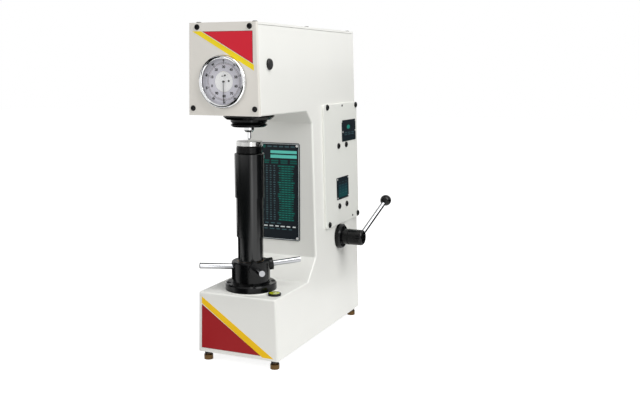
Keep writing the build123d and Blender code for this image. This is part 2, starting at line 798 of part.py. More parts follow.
with BuildPart() as spindle_collar:
    with BuildSketch(Plane(origin=(0, test_axis_y, 0), x_dir=(1, 0, 0), z_dir=(0, -1, 0))):
        with BuildLine():
            Polyline(
                (spindle_radius + sliding, collar_bottom),
                (collar_radius - 4, collar_bottom),
                (collar_radius, collar_bottom + 3),
                (collar_radius, collar_bottom + 4),
                (collar_radius - 3, collar_bottom + 7),
                (collar_radius, collar_bottom + 10),
                (collar_radius, collar_top),
                (spindle_radius + sliding, collar_top),
                close=True,
            )
        make_face()
    revolve(axis=Axis((0, test_axis_y, 0), (0, 0, 1)))
save(spindle_collar, "spindle_collar")

with BuildPart() as spindle:
    with BuildSketch(test_axis.offset(spindle_bottom)):
        Circle(spindle_radius)
    extrude(amount=spindle_top - spindle_bottom)
    fillet(spindle.edges().group_by(Axis.Z)[-1], radius=6)
    with BuildSketch(test_axis.offset(spindle_bottom)):
        Circle(indenter_radius + 1)
    extrude(amount=8, mode=Mode.SUBTRACT)
save(spindle, "spindle")

with BuildPart() as indenter_holder:
    with BuildSketch(test_axis.offset(holder_bottom)):
        Circle(holder_radius)
    extrude(amount=spindle_bottom - holder_bottom)
    chamfer(indenter_holder.edges().group_by(Axis.Z)[0], length=4, length2=3)
    with BuildSketch(test_axis.offset(spindle_bottom)):
        Circle(indenter_radius + 1)
    extrude(amount=8)
    with BuildSketch(test_axis.offset(holder_bottom)):
        Circle(indenter_radius)
    extrude(amount=9, mode=Mode.SUBTRACT)
save(indenter_holder, "indenter_holder")

clamp_height = holder_bottom + 6.5
clamp_axis = Plane(origin=(0, test_axis_y, clamp_height), x_dir=(0, 0, 1), z_dir=(0.94, -0.34, 0))
save(ring(clamp_axis, holder_radius, holder_radius + 2.4, 2.0), "indenter_clamp_screw")
save(ring(test_axis, tip_top, holder_bottom + 9, indenter_radius), "indenter")

with BuildPart() as indenter_tip:
    with BuildSketch(test_axis.offset(tip_top - tip_length)):
        Circle(0.4)
    with BuildSketch(test_axis.offset(tip_top)):
        Circle(indenter_radius - 1)
    loft()
save(indenter_tip, "indenter_tip")

# ---------------------------------------------------------------- main lever in the head
lever_front = bridge_y - 20
lever_rear = dashpot_y + 8
main_lever_top = main_lever_bottom + main_lever_depth

with BuildPart() as main_lever:
    with BuildSketch(Plane.YZ):
        with BuildLine():
            Polyline(
                (lever_front, main_lever_bottom),
                (lever_rear, main_lever_bottom),
                (lever_rear, main_lever_top - lever_end_slope),
                (test_axis_y + 60, main_lever_top),
                (lever_front, main_lever_top),
                close=True,
            )
        make_face()
    extrude(amount=main_lever_width / 2, both=True)
    with BuildSketch(Plane.YZ):
        with BuildLine():
            Polyline(
                (lever_front, main_lever_bottom),
                (lever_front, plunger_top + seat_gap + 6),
                (plunger_y - 4, plunger_top + seat_gap + 6),
                (plunger_y - 4, plunger_top + seat_gap),
                (lever_front - 6, plunger_top + seat_gap),
                (lever_front - 6, main_lever_bottom),
                close=True,
            )
        make_face()
    extrude(amount=5, both=True)
save(main_lever, "main_lever")

with BuildPart() as fulcrum_bridge:
    with BuildSketch(Plane.XY.offset(bridge_z)):
        with Locations((0, bridge_y)):
            Rectangle(2 * (half_width(bridge_z + 20) - wall - 1), bridge_length)
    extrude(amount=20)
    fillet(fulcrum_bridge.edges().filter_by(Axis.X).group_by(Axis.Z)[-1], radius=4)
save(fulcrum_bridge, "fulcrum_bridge")

poise_y = -60.0
with BuildPart() as minor_load_poise:
    with BuildSketch(Plane.YZ):
        with Locations((poise_y, main_lever_bottom + main_lever_depth / 2)):
            Rectangle(36, main_lever_depth + 16)
    extrude(amount=main_lever_width / 2 + 10, both=True)
    fillet(minor_load_poise.edges().filter_by(Axis.Y), radius=4)
    with BuildSketch(Plane.YZ):
        with BuildLine():
            Polyline(
                (lever_front, main_lever_bottom),
                (lever_rear, main_lever_bottom),
                (lever_rear, main_lever_top - lever_end_slope),
                (test_axis_y + 60, main_lever_top),
                (lever_front, main_lever_top),
                close=True,
            )
        make_face()
    extrude(amount=main_lever_width / 2, both=True, mode=Mode.SUBTRACT)
save(minor_load_poise, "minor_load_poise")

# ---------------------------------------------------------------- weights on their hanger
hanger_foot = lever_axis_z + cam_high_radius + cam_gap
rack_z = hanger_foot + 36
hanger_rod_radius = 6.0
yoke_bottom = main_lever_bottom - weight_drop - 4


def lever_top_at(y):
    """Height of the sloping top of the main lever behind its deep front part."""
    slope_start = test_axis_y + 60
    return main_lever_top - lever_end_slope * (y - slope_start) / (lever_rear - slope_start)


knife_rest = lever_top_at(lever_axis_y) + 4

with BuildPart() as knife_edges:
    with BuildSketch(Plane.YZ):
        with BuildLine():
            Polyline(
                (bridge_y - 4, main_lever_top),
                (bridge_y + 4, main_lever_top),
                (bridge_y, main_lever_top + knife_height),
                close=True,
            )
        make_face()
        with BuildLine():
            Polyline(
                (lever_axis_y - 4, lever_top_at(lever_axis_y - 4)),
                (lever_axis_y + 4, lever_top_at(lever_axis_y + 4)),
                (lever_axis_y, knife_rest),
                close=True,
            )
        make_face()
    extrude(amount=main_lever_width / 2, both=True)
save(knife_edges, "knife_edges")

yoke_top = knife_rest + seat_gap
with BuildPart() as weight_hanger:
    with BuildSketch(Plane.XY.offset(hanger_foot)):
        with Locations((0, lever_axis_y)):
            Circle(3)
    extrude(amount=8)
    fillet(weight_hanger.edges().group_by(Axis.Z)[0], radius=2.4)
    with BuildSketch(Plane.XY.offset(hanger_foot + 8)):
        with Locations((0, lever_axis_y)):
            Circle(hanger_rod_radius)
    extrude(amount=yoke_bottom - hanger_foot - 8)
    with BuildSketch(Plane.XY.offset(rack_z - 6)):
        with Locations((0, lever_axis_y)):
            Circle(30)
    extrude(amount=6)
    with BuildSketch(Plane.XZ.offset(-lever_axis_y - 8)):
        with Locations((0, (yoke_bottom - 6 + yoke_top + 8) / 2)):
            Rectangle(main_lever_width + 18, yoke_top + 8 - yoke_bottom + 6)
        with Locations((0, (yoke_bottom + yoke_top) / 2)):
            Rectangle(main_lever_width + 4, yoke_top - yoke_bottom, mode=Mode.SUBTRACT)
    extrude(amount=16)
save(weight_hanger, "weight_hanger")

with BuildPart() as weights:
    weight_bottom = rack_z
    for thickness in weight_thicknesses:
        with BuildSketch(Plane.XY.offset(weight_bottom)):
            with Locations((0, lever_axis_y)):
                Circle(weight_radius)
                Circle(hanger_rod_radius + sliding, mode=Mode.SUBTRACT)
                with Locations((0, weight_radius / 2)):
                    Rectangle(2 * hanger_rod_radius + 2 * sliding, weight_radius, mode=Mode.SUBTRACT)
        extrude(amount=thickness - 0.5)
        weight_bottom += thickness
save(weights, "weights")

# ---------------------------------------------------------------- loading lever, shaft and cam
flange_outer_x = flange_seat_x + side_flange_thickness
lever_axis = Plane(origin=(0, lever_axis_y, lever_axis_z), x_dir=(0, 1, 0), z_dir=(1, 0, 0))
hub_start = flange_outer_x + seat_gap
hub_end = hub_start + lever_hub_length
shaft_end = hub_start + 20

with BuildPart() as lever_flange:
    with BuildSketch(lever_axis.offset(flange_seat_x)):
        Circle(side_flange_radius)
    extrude(amount=side_flange_thickness)
    chamfer(lever_flange.edges().group_by(Axis.X)[-1], length=3)
    with BuildSketch(lever_axis.offset(flange_seat_x - 26)):
        Circle(lever_hole_radius)
    extrude(amount=26)
    with BuildSketch(lever_axis.offset(flange_seat_x - 26)):
        Circle(shaft_radius + running)
    extrude(amount=26 + side_flange_thickness, mode=Mode.SUBTRACT)
save(lever_flange, "lever_flange")

flange_screw_circle = side_flange_radius - 6
with BuildPart() as flange_screws:
    with BuildSketch(test_axis.offset(flange_bottom + base_flange_height - 6)):
        with PolarLocations(flange_screw_radius, 4, start_angle=flange_screw_turn):
            Circle(flange_screw_head)
    extrude(amount=5.0)
    with BuildSketch(test_axis.offset(flange_bottom + base_flange_height - 1)):
        with PolarLocations(flange_screw_radius, 4, start_angle=flange_screw_turn):
            RegularPolygon(flange_screw_head / 2, 6)
    extrude(amount=-2.5, mode=Mode.SUBTRACT)
    with BuildSketch(lever_axis.offset(flange_outer_x)):
        with PolarLocations(flange_screw_circle, 3, start_angle=90):
            Circle(2.6)
    extrude(amount=1.2)
save(flange_screws, "flange_screws")

save(ring(lever_axis, -cam_width / 2 - 4, shaft_end, shaft_radius), "lever_shaft")


def cam_radius(turn):
    """Radius of the snail cam that stands under the hanger foot after the lever has turned."""
    return cam_high_radius - weight_drop * turn / lever_turn


cam_turns = [-8, 15, 40, 65, 90, lever_turn + 6]
with BuildPart() as lift_cam:
    with BuildSketch(lever_axis.offset(-cam_width / 2)):
        with BuildLine():
            lift = Spline(*[polar(cam_radius(turn), 90 - turn) for turn in cam_turns])
            low_end = cam_radius(cam_turns[-1])
            back = ThreePointArc(lift @ 1, polar(low_end, -90), polar(low_end, -170))
            Line(back @ 1, lift @ 0)
        make_face()
        Circle(shaft_radius, mode=Mode.SUBTRACT)
    extrude(amount=cam_width)
save(lift_cam, "lift_cam")

rod_length = hypot(*rod_lean)
rod_x = hub_end - 10
rod_axis = Plane(origin=(rod_x, lever_axis_y, lever_axis_z), x_dir=(1, 0, -0.4), z_dir=rod_lean)
with BuildPart() as lever_hub:
    with BuildSketch(lever_axis.offset(hub_start)):
        Circle(lever_hub_radius)
    extrude(amount=lever_hub_length)
    fillet(lever_hub.edges().group_by(Axis.X)[-1], radius=6)
    with BuildSketch(lever_axis.offset(hub_start + 13)):
        Circle(lever_hub_radius + 1)
        Circle(lever_hub_radius - 1.2, mode=Mode.SUBTRACT)
    extrude(amount=2.5, mode=Mode.SUBTRACT)
    with BuildSketch(lever_axis.offset(hub_start)):
        Circle(shaft_radius)
    extrude(amount=shaft_end - hub_start, mode=Mode.SUBTRACT)
    with BuildSketch(rod_axis):
        Circle(rod_radius)
    extrude(amount=40, mode=Mode.SUBTRACT)
save(lever_hub, "lever_hub")

with BuildPart() as lever_rod:
    with BuildSketch(rod_axis):
        Circle(rod_radius)
    extrude(amount=rod_length - knob_radius * 0.6)
save(lever_rod, "lever_rod")

with BuildPart() as lever_knob:
    with Locations(rod_axis.offset(rod_length).origin):
        Sphere(knob_radius)
    with BuildSketch(rod_axis):
        Circle(rod_radius)
    extrude(amount=rod_length - knob_radius * 0.6, mode=Mode.SUBTRACT)
save(lever_knob, "lever_knob")

# ---------------------------------------------------------------- dashpot
dashpot_bottom = main_lever_bottom - 68.0
dashpot_height = 51.0
dashpot_axis = Plane(origin=(0, dashpot_y, 0), x_dir=(1, 0, 0), z_dir=(0, 0, 1))
with BuildPart() as dashpot_cylinder:
    with BuildSketch(dashpot_axis.offset(dashpot_bottom)):
        Circle(dashpot_radius)
        with Locations((0, (dashpot_radius - 4 + rear - wall - dashpot_y) / 2)):
            Rectangle(30, rear - wall - dashpot_y - dashpot_radius + 4)
    extrude(amount=dashpot_height)
    with BuildSketch(dashpot_axis.offset(dashpot_bottom + 5)):
        Circle(dashpot_radius - 4)
    extrude(amount=dashpot_height, mode=Mode.SUBTRACT)
save(dashpot_cylinder, "dashpot_cylinder")

with BuildPart() as dashpot_piston:
    with BuildSketch(dashpot_axis.offset(dashpot_bottom + dashpot_height - 16)):
        Circle(dashpot_radius - 4 - sliding)
    extrude(amount=8)
    with BuildSketch(dashpot_axis.offset(dashpot_bottom + dashpot_height - 8)):
        Circle(4)
    extrude(amount=main_lever_bottom - seat_gap - dashpot_bottom - dashpot_height + 8)
save(dashpot_piston, "dashpot_piston")

# ---------------------------------------------------------------- spirit level and feet
with BuildPart() as level_housing:
    with BuildSketch(Plane(origin=(level_x, level_y, base_top))):
        Circle(level_radius)
    extrude(amount=4.5)
    chamfer(level_housing.edges().group_by(Axis.Z)[-1], length=1)
    with BuildSketch(Plane(origin=(level_x, level_y, base_top + 1.5))):
        Circle(level_radius - 2)
    extrude(amount=10, mode=Mode.SUBTRACT)
save(level_housing, "level_housing")
save(
    ring(Plane(origin=(level_x, level_y, base_top)), 1.5, 4.3, level_radius - 2),
    "level_vial",
)

with BuildPart() as levelling_feet:
    with BuildSketch(Plane.XY):
        with GridLocations(foot_spread_x, foot_spread_y, 2, 2):
            Circle(foot_radius)
    extrude(amount=foot_disc_height)
    with BuildSketch(Plane.XY.offset(foot_disc_height)):
        with GridLocations(foot_spread_x, foot_spread_y, 2, 2):
            Circle(foot_stud_radius)
    extrude(amount=foot_height + 30 - foot_disc_height)
save(levelling_feet, "levelling_feet")

with BuildPart() as foot_locknuts:
    with BuildSketch(Plane.XY.offset(foot_height - 6.5)):
        with GridLocations(foot_spread_x, foot_spread_y, 2, 2):
            RegularPolygon(foot_radius - 0.6, 6)
            Circle(foot_stud_radius, mode=Mode.SUBTRACT)
    extrude(amount=6.5)
save(foot_locknuts, "foot_locknuts")
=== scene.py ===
# %% [markdown]
# A bench hardness tester, dressed for a studio picture.
#
# The machine is a C-shaped casting in off-white enamel.  Its head holds a dial gauge and a spindle with a
# diamond tip.  Below it an elevating screw under black telescopic sleeves lifts the anvil.  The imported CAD
# model gives every rigid solid in its real place, so this lesson adds what CAD leaves out: finishes,
# printed colour, dial marks, chart rows, screw heads with sockets, knurls and light.

import json
from math import atan2, cos, pi, radians, sin

import bmesh
import bpy
from mathutils import Matrix, Vector


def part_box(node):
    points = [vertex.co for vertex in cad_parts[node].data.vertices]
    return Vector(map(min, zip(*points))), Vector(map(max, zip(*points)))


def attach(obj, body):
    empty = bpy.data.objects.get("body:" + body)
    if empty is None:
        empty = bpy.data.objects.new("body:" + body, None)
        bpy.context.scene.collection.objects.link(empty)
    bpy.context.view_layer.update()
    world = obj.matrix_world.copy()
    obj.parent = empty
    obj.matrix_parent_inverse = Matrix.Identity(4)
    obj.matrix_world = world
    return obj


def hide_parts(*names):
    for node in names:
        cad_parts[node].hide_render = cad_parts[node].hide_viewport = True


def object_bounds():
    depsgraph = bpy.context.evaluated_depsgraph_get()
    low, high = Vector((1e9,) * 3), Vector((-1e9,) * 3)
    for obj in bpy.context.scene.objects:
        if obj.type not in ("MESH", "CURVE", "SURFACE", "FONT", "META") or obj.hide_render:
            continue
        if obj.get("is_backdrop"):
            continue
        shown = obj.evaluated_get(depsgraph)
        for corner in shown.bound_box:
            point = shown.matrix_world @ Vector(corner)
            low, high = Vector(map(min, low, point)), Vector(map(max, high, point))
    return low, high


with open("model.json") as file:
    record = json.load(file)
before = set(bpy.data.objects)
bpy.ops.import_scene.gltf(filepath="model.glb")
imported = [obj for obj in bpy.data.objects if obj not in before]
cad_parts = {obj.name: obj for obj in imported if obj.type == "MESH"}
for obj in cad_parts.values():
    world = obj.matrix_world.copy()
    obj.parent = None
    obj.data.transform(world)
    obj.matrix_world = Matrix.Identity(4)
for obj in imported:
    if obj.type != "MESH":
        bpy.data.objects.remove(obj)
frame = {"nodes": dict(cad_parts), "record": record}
nodes = frame["nodes"]
cad_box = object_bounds()
mm = 0.001

# %% [markdown]
# Three small helpers carry the materials.  Colours are written as the hex values that a paint chart gives,
# and Blender wants linear light, so one function converts them.  The second adds a shader node, sets its
# inputs and makes its links.  The last opens a material with Object coordinates, so that its pattern stays
# on the solid when the solid moves.

# %% Colour and node helpers
def paint(hex_code):
    """A linear RGBA colour from an sRGB hex value."""
    values = [int(hex_code[i : i + 2], 16) / 255 for i in (0, 2, 4)]
    return [v / 12.92 if v <= 0.04045 else ((v + 0.055) / 1.055) ** 2.4 for v in values] + [1.0]


def add_node(tree, kind, inputs=(), **settings):
    """Add a node; inputs maps a socket to a value or to another node's output."""
    node = tree.nodes.new(kind)
    for name, value in settings.items():
        setattr(node, name, value)
    for name, value in dict(inputs).items():
        if isinstance(value, bpy.types.NodeSocket):
            tree.links.new(value, node.inputs[name])
        else:
            node.inputs[name].default_value = value
    return node


def new_material(name):
    """A material with an empty tree, its output and an Object coordinate."""
    material = bpy.data.materials.new(name)
    material.use_nodes = True
    tree = material.node_tree
    tree.nodes.clear()
    output = tree.nodes.new("ShaderNodeOutputMaterial")
    place = tree.nodes.new("ShaderNodeTexCoord").outputs["Object"]
    return material, tree, output, place


# %% [markdown]
# The body is cast iron, filled, primed and sprayed with machine enamel.  Sprayed enamel dries with a faint
# orange peel, ripples one to two millimetres across, and its colour drifts by a percent or two from one
# side to the other.  Noise on Object coordinates gives both, with the scale worked out from the ripple's
# real width.  A thin clear coat gives the soft highlight of gloss paint.

# %% Enamel
drift_size = 0.12


def enamel(name, colour, second, roughness=0.38, peel_mm=1.6, peel_height=0.012, coat=0.25, specular=0.5):
    """Sprayed machine enamel with orange peel and a slow drift in colour."""
    material, tree, output, place = new_material(name)
    drift = add_node(tree, "ShaderNodeTexNoise", {"Vector": place, "Scale": 1 / drift_size, "Detail": 2.0})
    tone = add_node(tree, "ShaderNodeMix", data_type="RGBA")
    tree.links.new(drift.outputs["Fac"], tone.inputs["Factor"])
    tone.inputs["A"].default_value = paint(colour)
    tone.inputs["B"].default_value = paint(second)
    peel = add_node(tree, "ShaderNodeTexNoise", {"Vector": place, "Scale": 1 / (peel_mm * mm), "Detail": 1.0})
    rough = add_node(tree, "ShaderNodeMapRange", {"Value": peel.outputs["Fac"], "To Min": roughness - 0.04})
    rough.inputs["To Max"].default_value = roughness + 0.05
    bump = add_node(tree, "ShaderNodeBump", {"Height": peel.outputs["Fac"], "Strength": 0.25})
    bump.inputs["Distance"].default_value = peel_height * mm * 4
    shader = add_node(
        tree,
        "ShaderNodeBsdfPrincipled",
        {
            "Base Color": tone.outputs["Result"],
            "Roughness": rough.outputs["Result"],
            "Normal": bump.outputs["Normal"],
        },
    )
    shader.inputs["Coat Weight"].default_value = coat
    shader.inputs["Coat Roughness"].default_value = 0.12
    shader.inputs["Specular IOR Level"].default_value = specular
    tree.links.new(shader.outputs["BSDF"], output.inputs["Surface"])
    return material


body_enamel = enamel("enamel_machine_white", "F4F4EF", "EFEFEA")
head_enamel = enamel("enamel_head_warm_grey", "E9E5DD", "E4E0D8", roughness=0.33)
panel_enamel = enamel("enamel_panel_white", "F1F2EC", "ECEDE7")
print("enamels", body_enamel.name, head_enamel.name, panel_enamel.name)

# %% [markdown]
# Metal takes its colour from its own reflection, so a metal here is fully metallic and the way it was
# worked shows in its roughness.  Turning leaves fine rings, grinding leaves short streaks, casting leaves
# a pebbled skin.  One maker covers them: a stretched noise is the tool mark, and its stretch and spacing
# are what changes from one metal to the next.

# %% Metals
def worked_metal(
    name, colour, roughness, mark_mm=0.4, stretch=(1, 1, 1), depth=0.02, metallic=1.0, specular=0.5
):
    """Metal with tool marks: mark_mm is their spacing, stretch turns the noise into streaks."""
    material, tree, output, place = new_material(name)
    scaled = add_node(tree, "ShaderNodeMapping", {"Vector": place, "Scale": stretch})
    marks = add_node(tree, "ShaderNodeTexNoise", {"Vector": scaled.outputs["Vector"], "Detail": 3.0})
    marks.inputs["Scale"].default_value = 1 / (mark_mm * mm)
    rough = add_node(tree, "ShaderNodeMapRange", {"Value": marks.outputs["Fac"], "To Min": roughness * 0.8})
    rough.inputs["To Max"].default_value = roughness * 1.25
    bump = add_node(tree, "ShaderNodeBump", {"Height": marks.outputs["Fac"], "Strength": 0.3})
    bump.inputs["Distance"].default_value = depth * mm
    shader = add_node(
        tree,
        "ShaderNodeBsdfPrincipled",
        {
            "Base Color": paint(colour),
            "Metallic": metallic,
            "Roughness": rough.outputs["Result"],
            "Normal": bump.outputs["Normal"],
        },
    )
    shader.inputs["Specular IOR Level"].default_value = specular
    tree.links.new(shader.outputs["BSDF"], output.inputs["Surface"])
    return material


satin_bar = worked_metal("steel_bar_satin", "A9AAAD", 0.07, mark_mm=3.0, depth=0.004)
chrome = worked_metal("chrome_polished", "E6E7E8", 0.09, mark_mm=3.0, depth=0.004)
anvil_steel = worked_metal("steel_anvil_ground", "D5D5D3", 0.2, mark_mm=1.2, stretch=(0.2, 1, 1))
ground_steel = worked_metal("steel_ground", "A9A9A6", 0.32, mark_mm=0.8, stretch=(1, 1, 0.15))
bronze = worked_metal("bronze_bearing", "B58B4E", 0.35, mark_mm=0.8)
foot_bronze = worked_metal("bronze_brown_plated_feet", "5E492F", 0.38, mark_mm=1.2)
brass = worked_metal("brass_movement", "C9A75C", 0.3, mark_mm=0.5)
cast_iron = worked_metal("iron_turned", "5C5B59", 0.5, mark_mm=2.0, depth=0.06)
turned_aluminium = worked_metal("aluminium_turned", "A5A5A5", 0.4, mark_mm=0.6)
bright_screw = worked_metal("steel_plated_screw", "F0F0EE", 0.3, mark_mm=0.8, metallic=0.2)
print("metals ready")

# %% [markdown]
# Black oxide, black enamel, rubber and moulded resin all hide the metal, so they reflect only weakly.  They
# keep the same surface marks with the metallic part set to nothing, and the strength of the gloss tells
# them apart.

# %% Black and printed surfaces
def covered(name, colour, roughness, mark_mm, depth=0.02, specular=0.5, stretch=(1, 1, 1)):
    """A worked surface under an opaque coat, or a moulded one."""
    return worked_metal(name, colour, roughness, mark_mm, stretch, depth, metallic=0.0, specular=specular)


black_steel = covered("steel_blackened", "060708", 0.18, 1.5, depth=0.006, specular=0.22)
black_sleeve = covered("steel_tube_black_enamel", "090B0C", 0.17, 2.5, depth=0.003)
black_screw = covered("steel_black_oxide_screw", "0C0C0D", 0.3, 0.8, specular=0.25)
knob_black = covered("phenolic_ball_black", "0A0A0B", 0.16, 4.0, depth=0.002, specular=0.25)
rubber = covered("rubber_moulded_black", "0B0B0C", 0.4, 1.0, specular=0.35)
pointer_black = covered("enamel_pointer_black", "101011", 0.4, 1.0)
print("covered surfaces ready")

# %% [markdown]
# The dial is a thin brushed plate, lacquered a cool lilac grey, and the chart and the data plates are
# anodised sheet printed in dark inks.  Long fine streaks stand for the brushing.  The glass is a flat disc.
# A path tracer stops lamp light at a refracting disc, so this one is a thin clear film with a sharp gloss,
# which lets the light through to the dial as a real glass does.

# %% Dial, plates, glass and fluid
ripple_size = 0.03


def film(name, colour, alpha, roughness, ior=1.5):
    """A clear or tinted thin body that lets light through."""
    material, tree, output, place = new_material(name)
    ripple = add_node(tree, "ShaderNodeTexNoise", {"Vector": place, "Scale": 1 / ripple_size})
    bump = add_node(tree, "ShaderNodeBump", {"Height": ripple.outputs["Fac"], "Strength": 0.05})
    bump.inputs["Distance"].default_value = 0.02 * mm
    shader = add_node(tree, "ShaderNodeBsdfPrincipled", {"Base Color": paint(colour), "Roughness": roughness})
    tree.links.new(bump.outputs["Normal"], shader.inputs["Normal"])
    shader.inputs["Alpha"].default_value = alpha
    shader.inputs["IOR"].default_value = ior
    tree.links.new(shader.outputs["BSDF"], output.inputs["Surface"])
    return material


brushed_across, brushed_along = (0.1, 1, 1), (1, 0.1, 1)
dial_silver = covered("aluminium_dial_brushed", "D9D7E1", 0.42, 0.8, specular=0.4, stretch=brushed_across)
dial_white = covered("lacquer_dial_white", "FFFFFF", 0.45, 2.0)
plate_ink = covered("aluminium_anodised_dark_teal", "0A1A20", 0.42, 0.8, specular=0.3, stretch=brushed_along)
chart_ink = covered("aluminium_printed_navy", "0B161D", 0.45, 1.0, specular=0.25)
dial_glass = film("glass_dial_clear", "E8ECEC", 0.03, 0.03)
level_fluid = film("fluid_level_yellow_green", "B9C414", 0.9, 0.08)
diamond = film("diamond_tip", "BFC4CC", 0.85, 0.05, ior=2.4)
print("plates and clear bodies ready")

# %% [markdown]
# Each CAD solid already rides on its body.  Giving it a finish is one assignment: the table maps the slot
# that the CAD record names to a material above, and a few nodes that share a slot get their own.

# %% Finishes on the CAD nodes
finish_of_slot = {
    "body_enamel": body_enamel,
    "head_enamel": head_enamel,
    "panel_enamel": panel_enamel,
    "black_screws": black_screw,
    "bright_screws": bright_screw,
    "label_ink": plate_ink,
    "chart_ink": chart_ink,
    "black_rubber": rubber,
    "gauge_body": turned_aluminium,
    "movement_brass": brass,
    "black_steel": black_steel,
    "black_sleeve": black_sleeve,
    "bronze": bronze,
    "bronze_feet": foot_bronze,
    "steel": ground_steel,
    "cast_iron": cast_iron,
    "chrome": chrome,
    "knob_plastic": knob_black,
    "level_fluid": level_fluid,
    "diamond": diamond,
    "pointer_black": pointer_black,
    "dial_print": dial_silver,
    "clear_glass": dial_glass,
}
special = {"anvil": anvil_steel, "inner_dial": dial_white, "capstan_bars": satin_bar, "lever_rod": satin_bar}
slot_of_node = {}
for row in frame["record"]["subparts"]:
    for name in row.get("nodes", [row.get("node")]):
        slot_of_node[name] = row.get("material_slot") or row.get("slot") or row.get("material")
for name, piece in nodes.items():
    finish = special.get(name) or finish_of_slot[slot_of_node[name]]
    piece.data.materials.clear()
    piece.data.materials.append(finish)
print("finished", len(nodes), "nodes")

# %% [markdown]
# Flat printed work, such as a painted stripe or a chart row, is paint a tenth of a millimetre thick.  It is
# modelled as a very thin sheet that lies on its surface.  A drawing plane holds the surface: its x runs
# along the sheet, its y up it, and its normal points out of the machine.  The right side of the body leans
# in with height, so its plane leans too.

# %% Drawing planes
def drawing_plane(origin, across, up):
    """A matrix from drawing millimetres to the machine's metres."""
    x, y = Vector(across).normalized(), Vector(up).normalized()
    z = x.cross(y)
    turn = Matrix((x, y, z)).transposed().to_4x4()
    return Matrix.Translation(Vector(origin) * mm) @ turn @ Matrix.Scale(mm, 4)


height, foot_height, base_width, top_width = 638.5, 18.5, 171.0, 135.0
lean = atan2(base_width - top_width, 2 * (height - foot_height))
dial_z, chart_z = 535.5, 310.0
head_y, dial_y, base_y, chart_y = -247.0, -244.0, -211.5, -24.5
along_x, along_z = (1, 0, 0), (0, 0, 1)
head_front = drawing_plane((0, head_y, dial_z), along_x, along_z)
base_front = drawing_plane((0, base_y, foot_height), along_x, along_z)
chart_front = drawing_plane((0, chart_y, chart_z), along_x, along_z)
dial_front = drawing_plane((0, dial_y, dial_z), along_x, along_z)
side_cover_thick, label_thick = 4.0, 1.0
side_out = side_cover_thick + label_thick
side_foot = (base_width / 2 + side_out * cos(lean), 0, foot_height + side_out * sin(lean))
side_front = drawing_plane(side_foot, (0, 1, 0), (-sin(lean), 0, cos(lean)))
print("body side leans", round(lean * 180 / pi, 2), "degrees")


def up_side(z):
    """Distance up the leaning side for a height above the bench."""
    return (z - foot_height) / cos(lean)


# %% [markdown]
# A sheet starts as an outline, is extruded by its paint thickness and moved to its plane.  The mesh keeps
# the place and the object stays at the origin, so Object coordinates mean the same thing on every piece.

# %% Sheets
def place_mesh(name, shape, matrix, finish, body):
    """Move a bmesh to its place, close it into an object with a finish, and let it ride on a body."""
    bmesh.ops.transform(shape, matrix=matrix, verts=shape.verts)
    mesh = bpy.data.meshes.new(name)
    shape.to_mesh(mesh)
    shape.free()
    mesh.materials.append(finish)
    piece = bpy.data.objects.new(name, mesh)
    bpy.context.scene.collection.objects.link(piece)
    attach(piece, body)
    return piece


def add_sheet(shape, outline, thick=0.12, lift=0.02):
    """Add one flat outline, given counterclockwise in millimetres, as a thin plate."""
    low = [shape.verts.new((x, y, lift)) for x, y in outline]
    high = [shape.verts.new((x, y, lift + thick)) for x, y in outline]
    shape.faces.new(high)
    shape.faces.new(low[::-1])
    for i in range(len(outline)):
        j = (i + 1) % len(outline)
        shape.faces.new((low[i], low[j], high[j], high[i]))


def sheet(name, outlines, matrix, finish, body="root", thick=0.12, lift=0.02):
    """Thin painted shapes on a drawing plane, one object for them all."""
    shape = bmesh.new()
    for outline in outlines:
        add_sheet(shape, outline, thick, lift)
    return place_mesh(name, shape, matrix, finish, body)


def disc(radius, middle=(0, 0), steps=64):
    """A round outline."""
    turns = [2 * pi * i / steps for i in range(steps)]
    return [(middle[0] + radius * cos(a), middle[1] + radius * sin(a)) for a in turns]


def box_outline(x0, y0, x1, y1):
    """A rectangular outline from its lower left to its upper right corner."""
    return [(x0, y0), (x1, y0), (x1, y1), (x0, y1)]


print("sheet tools ready")

# %% [markdown]
# Two painted triangles dress the front of the head and of the base: red in the corner with a thin maroon
# edge, a yellow band along its long side and a pale line between them.  Screen paint is flatter than the
# enamel under it and covers fully, so it gets its own material with less gloss.  Each layer is lifted about
# a tenth of a millimetre above the last, so that no two faces share a plane.

# %% Painted stripes
def screen_paint(name, colour, second):
    """Flat opaque paint, printed through a screen."""
    return enamel(name, colour, second, roughness=0.42, peel_mm=1.2, coat=0.0, specular=0.2)


red_paint = screen_paint("paint_signal_red", "E01B34", "D91930")
dark_red_paint = screen_paint("paint_deep_red", "A6191F", "9F171D")
yellow_paint = screen_paint("paint_stripe_yellow", "FFE61A", "FBD91A")
pale_paint = screen_paint("paint_line_pale", "F3E6E0", "EFE0DA")
edge_paint = screen_paint("paint_edge_maroon", "5A0F18", "521018")
line_lift, edge_lift, top_lift = 0.1, 0.18, 0.26

stripe = [(-60.7, 88.0), (61.8, 19.0), (61.8, 29.4), (-43.5, 88.0)]
sheet("head_stripe_yellow", [stripe], head_front, yellow_paint)
line = [(-42.6, 88.0), (61.0, 30.0), (61.0, 88.0)]
sheet("head_line_pale", [line], head_front, pale_paint, lift=line_lift)
edge = [(-40.0, 87.5), (60.1, 31.4), (60.1, 87.5)]
sheet("head_edge_maroon", [edge], head_front, edge_paint, lift=edge_lift)
red = [(-38.0, 86.9), (59.4, 32.3), (59.4, 86.9)]
sheet("head_triangle_red", [red], head_front, red_paint, lift=top_lift)

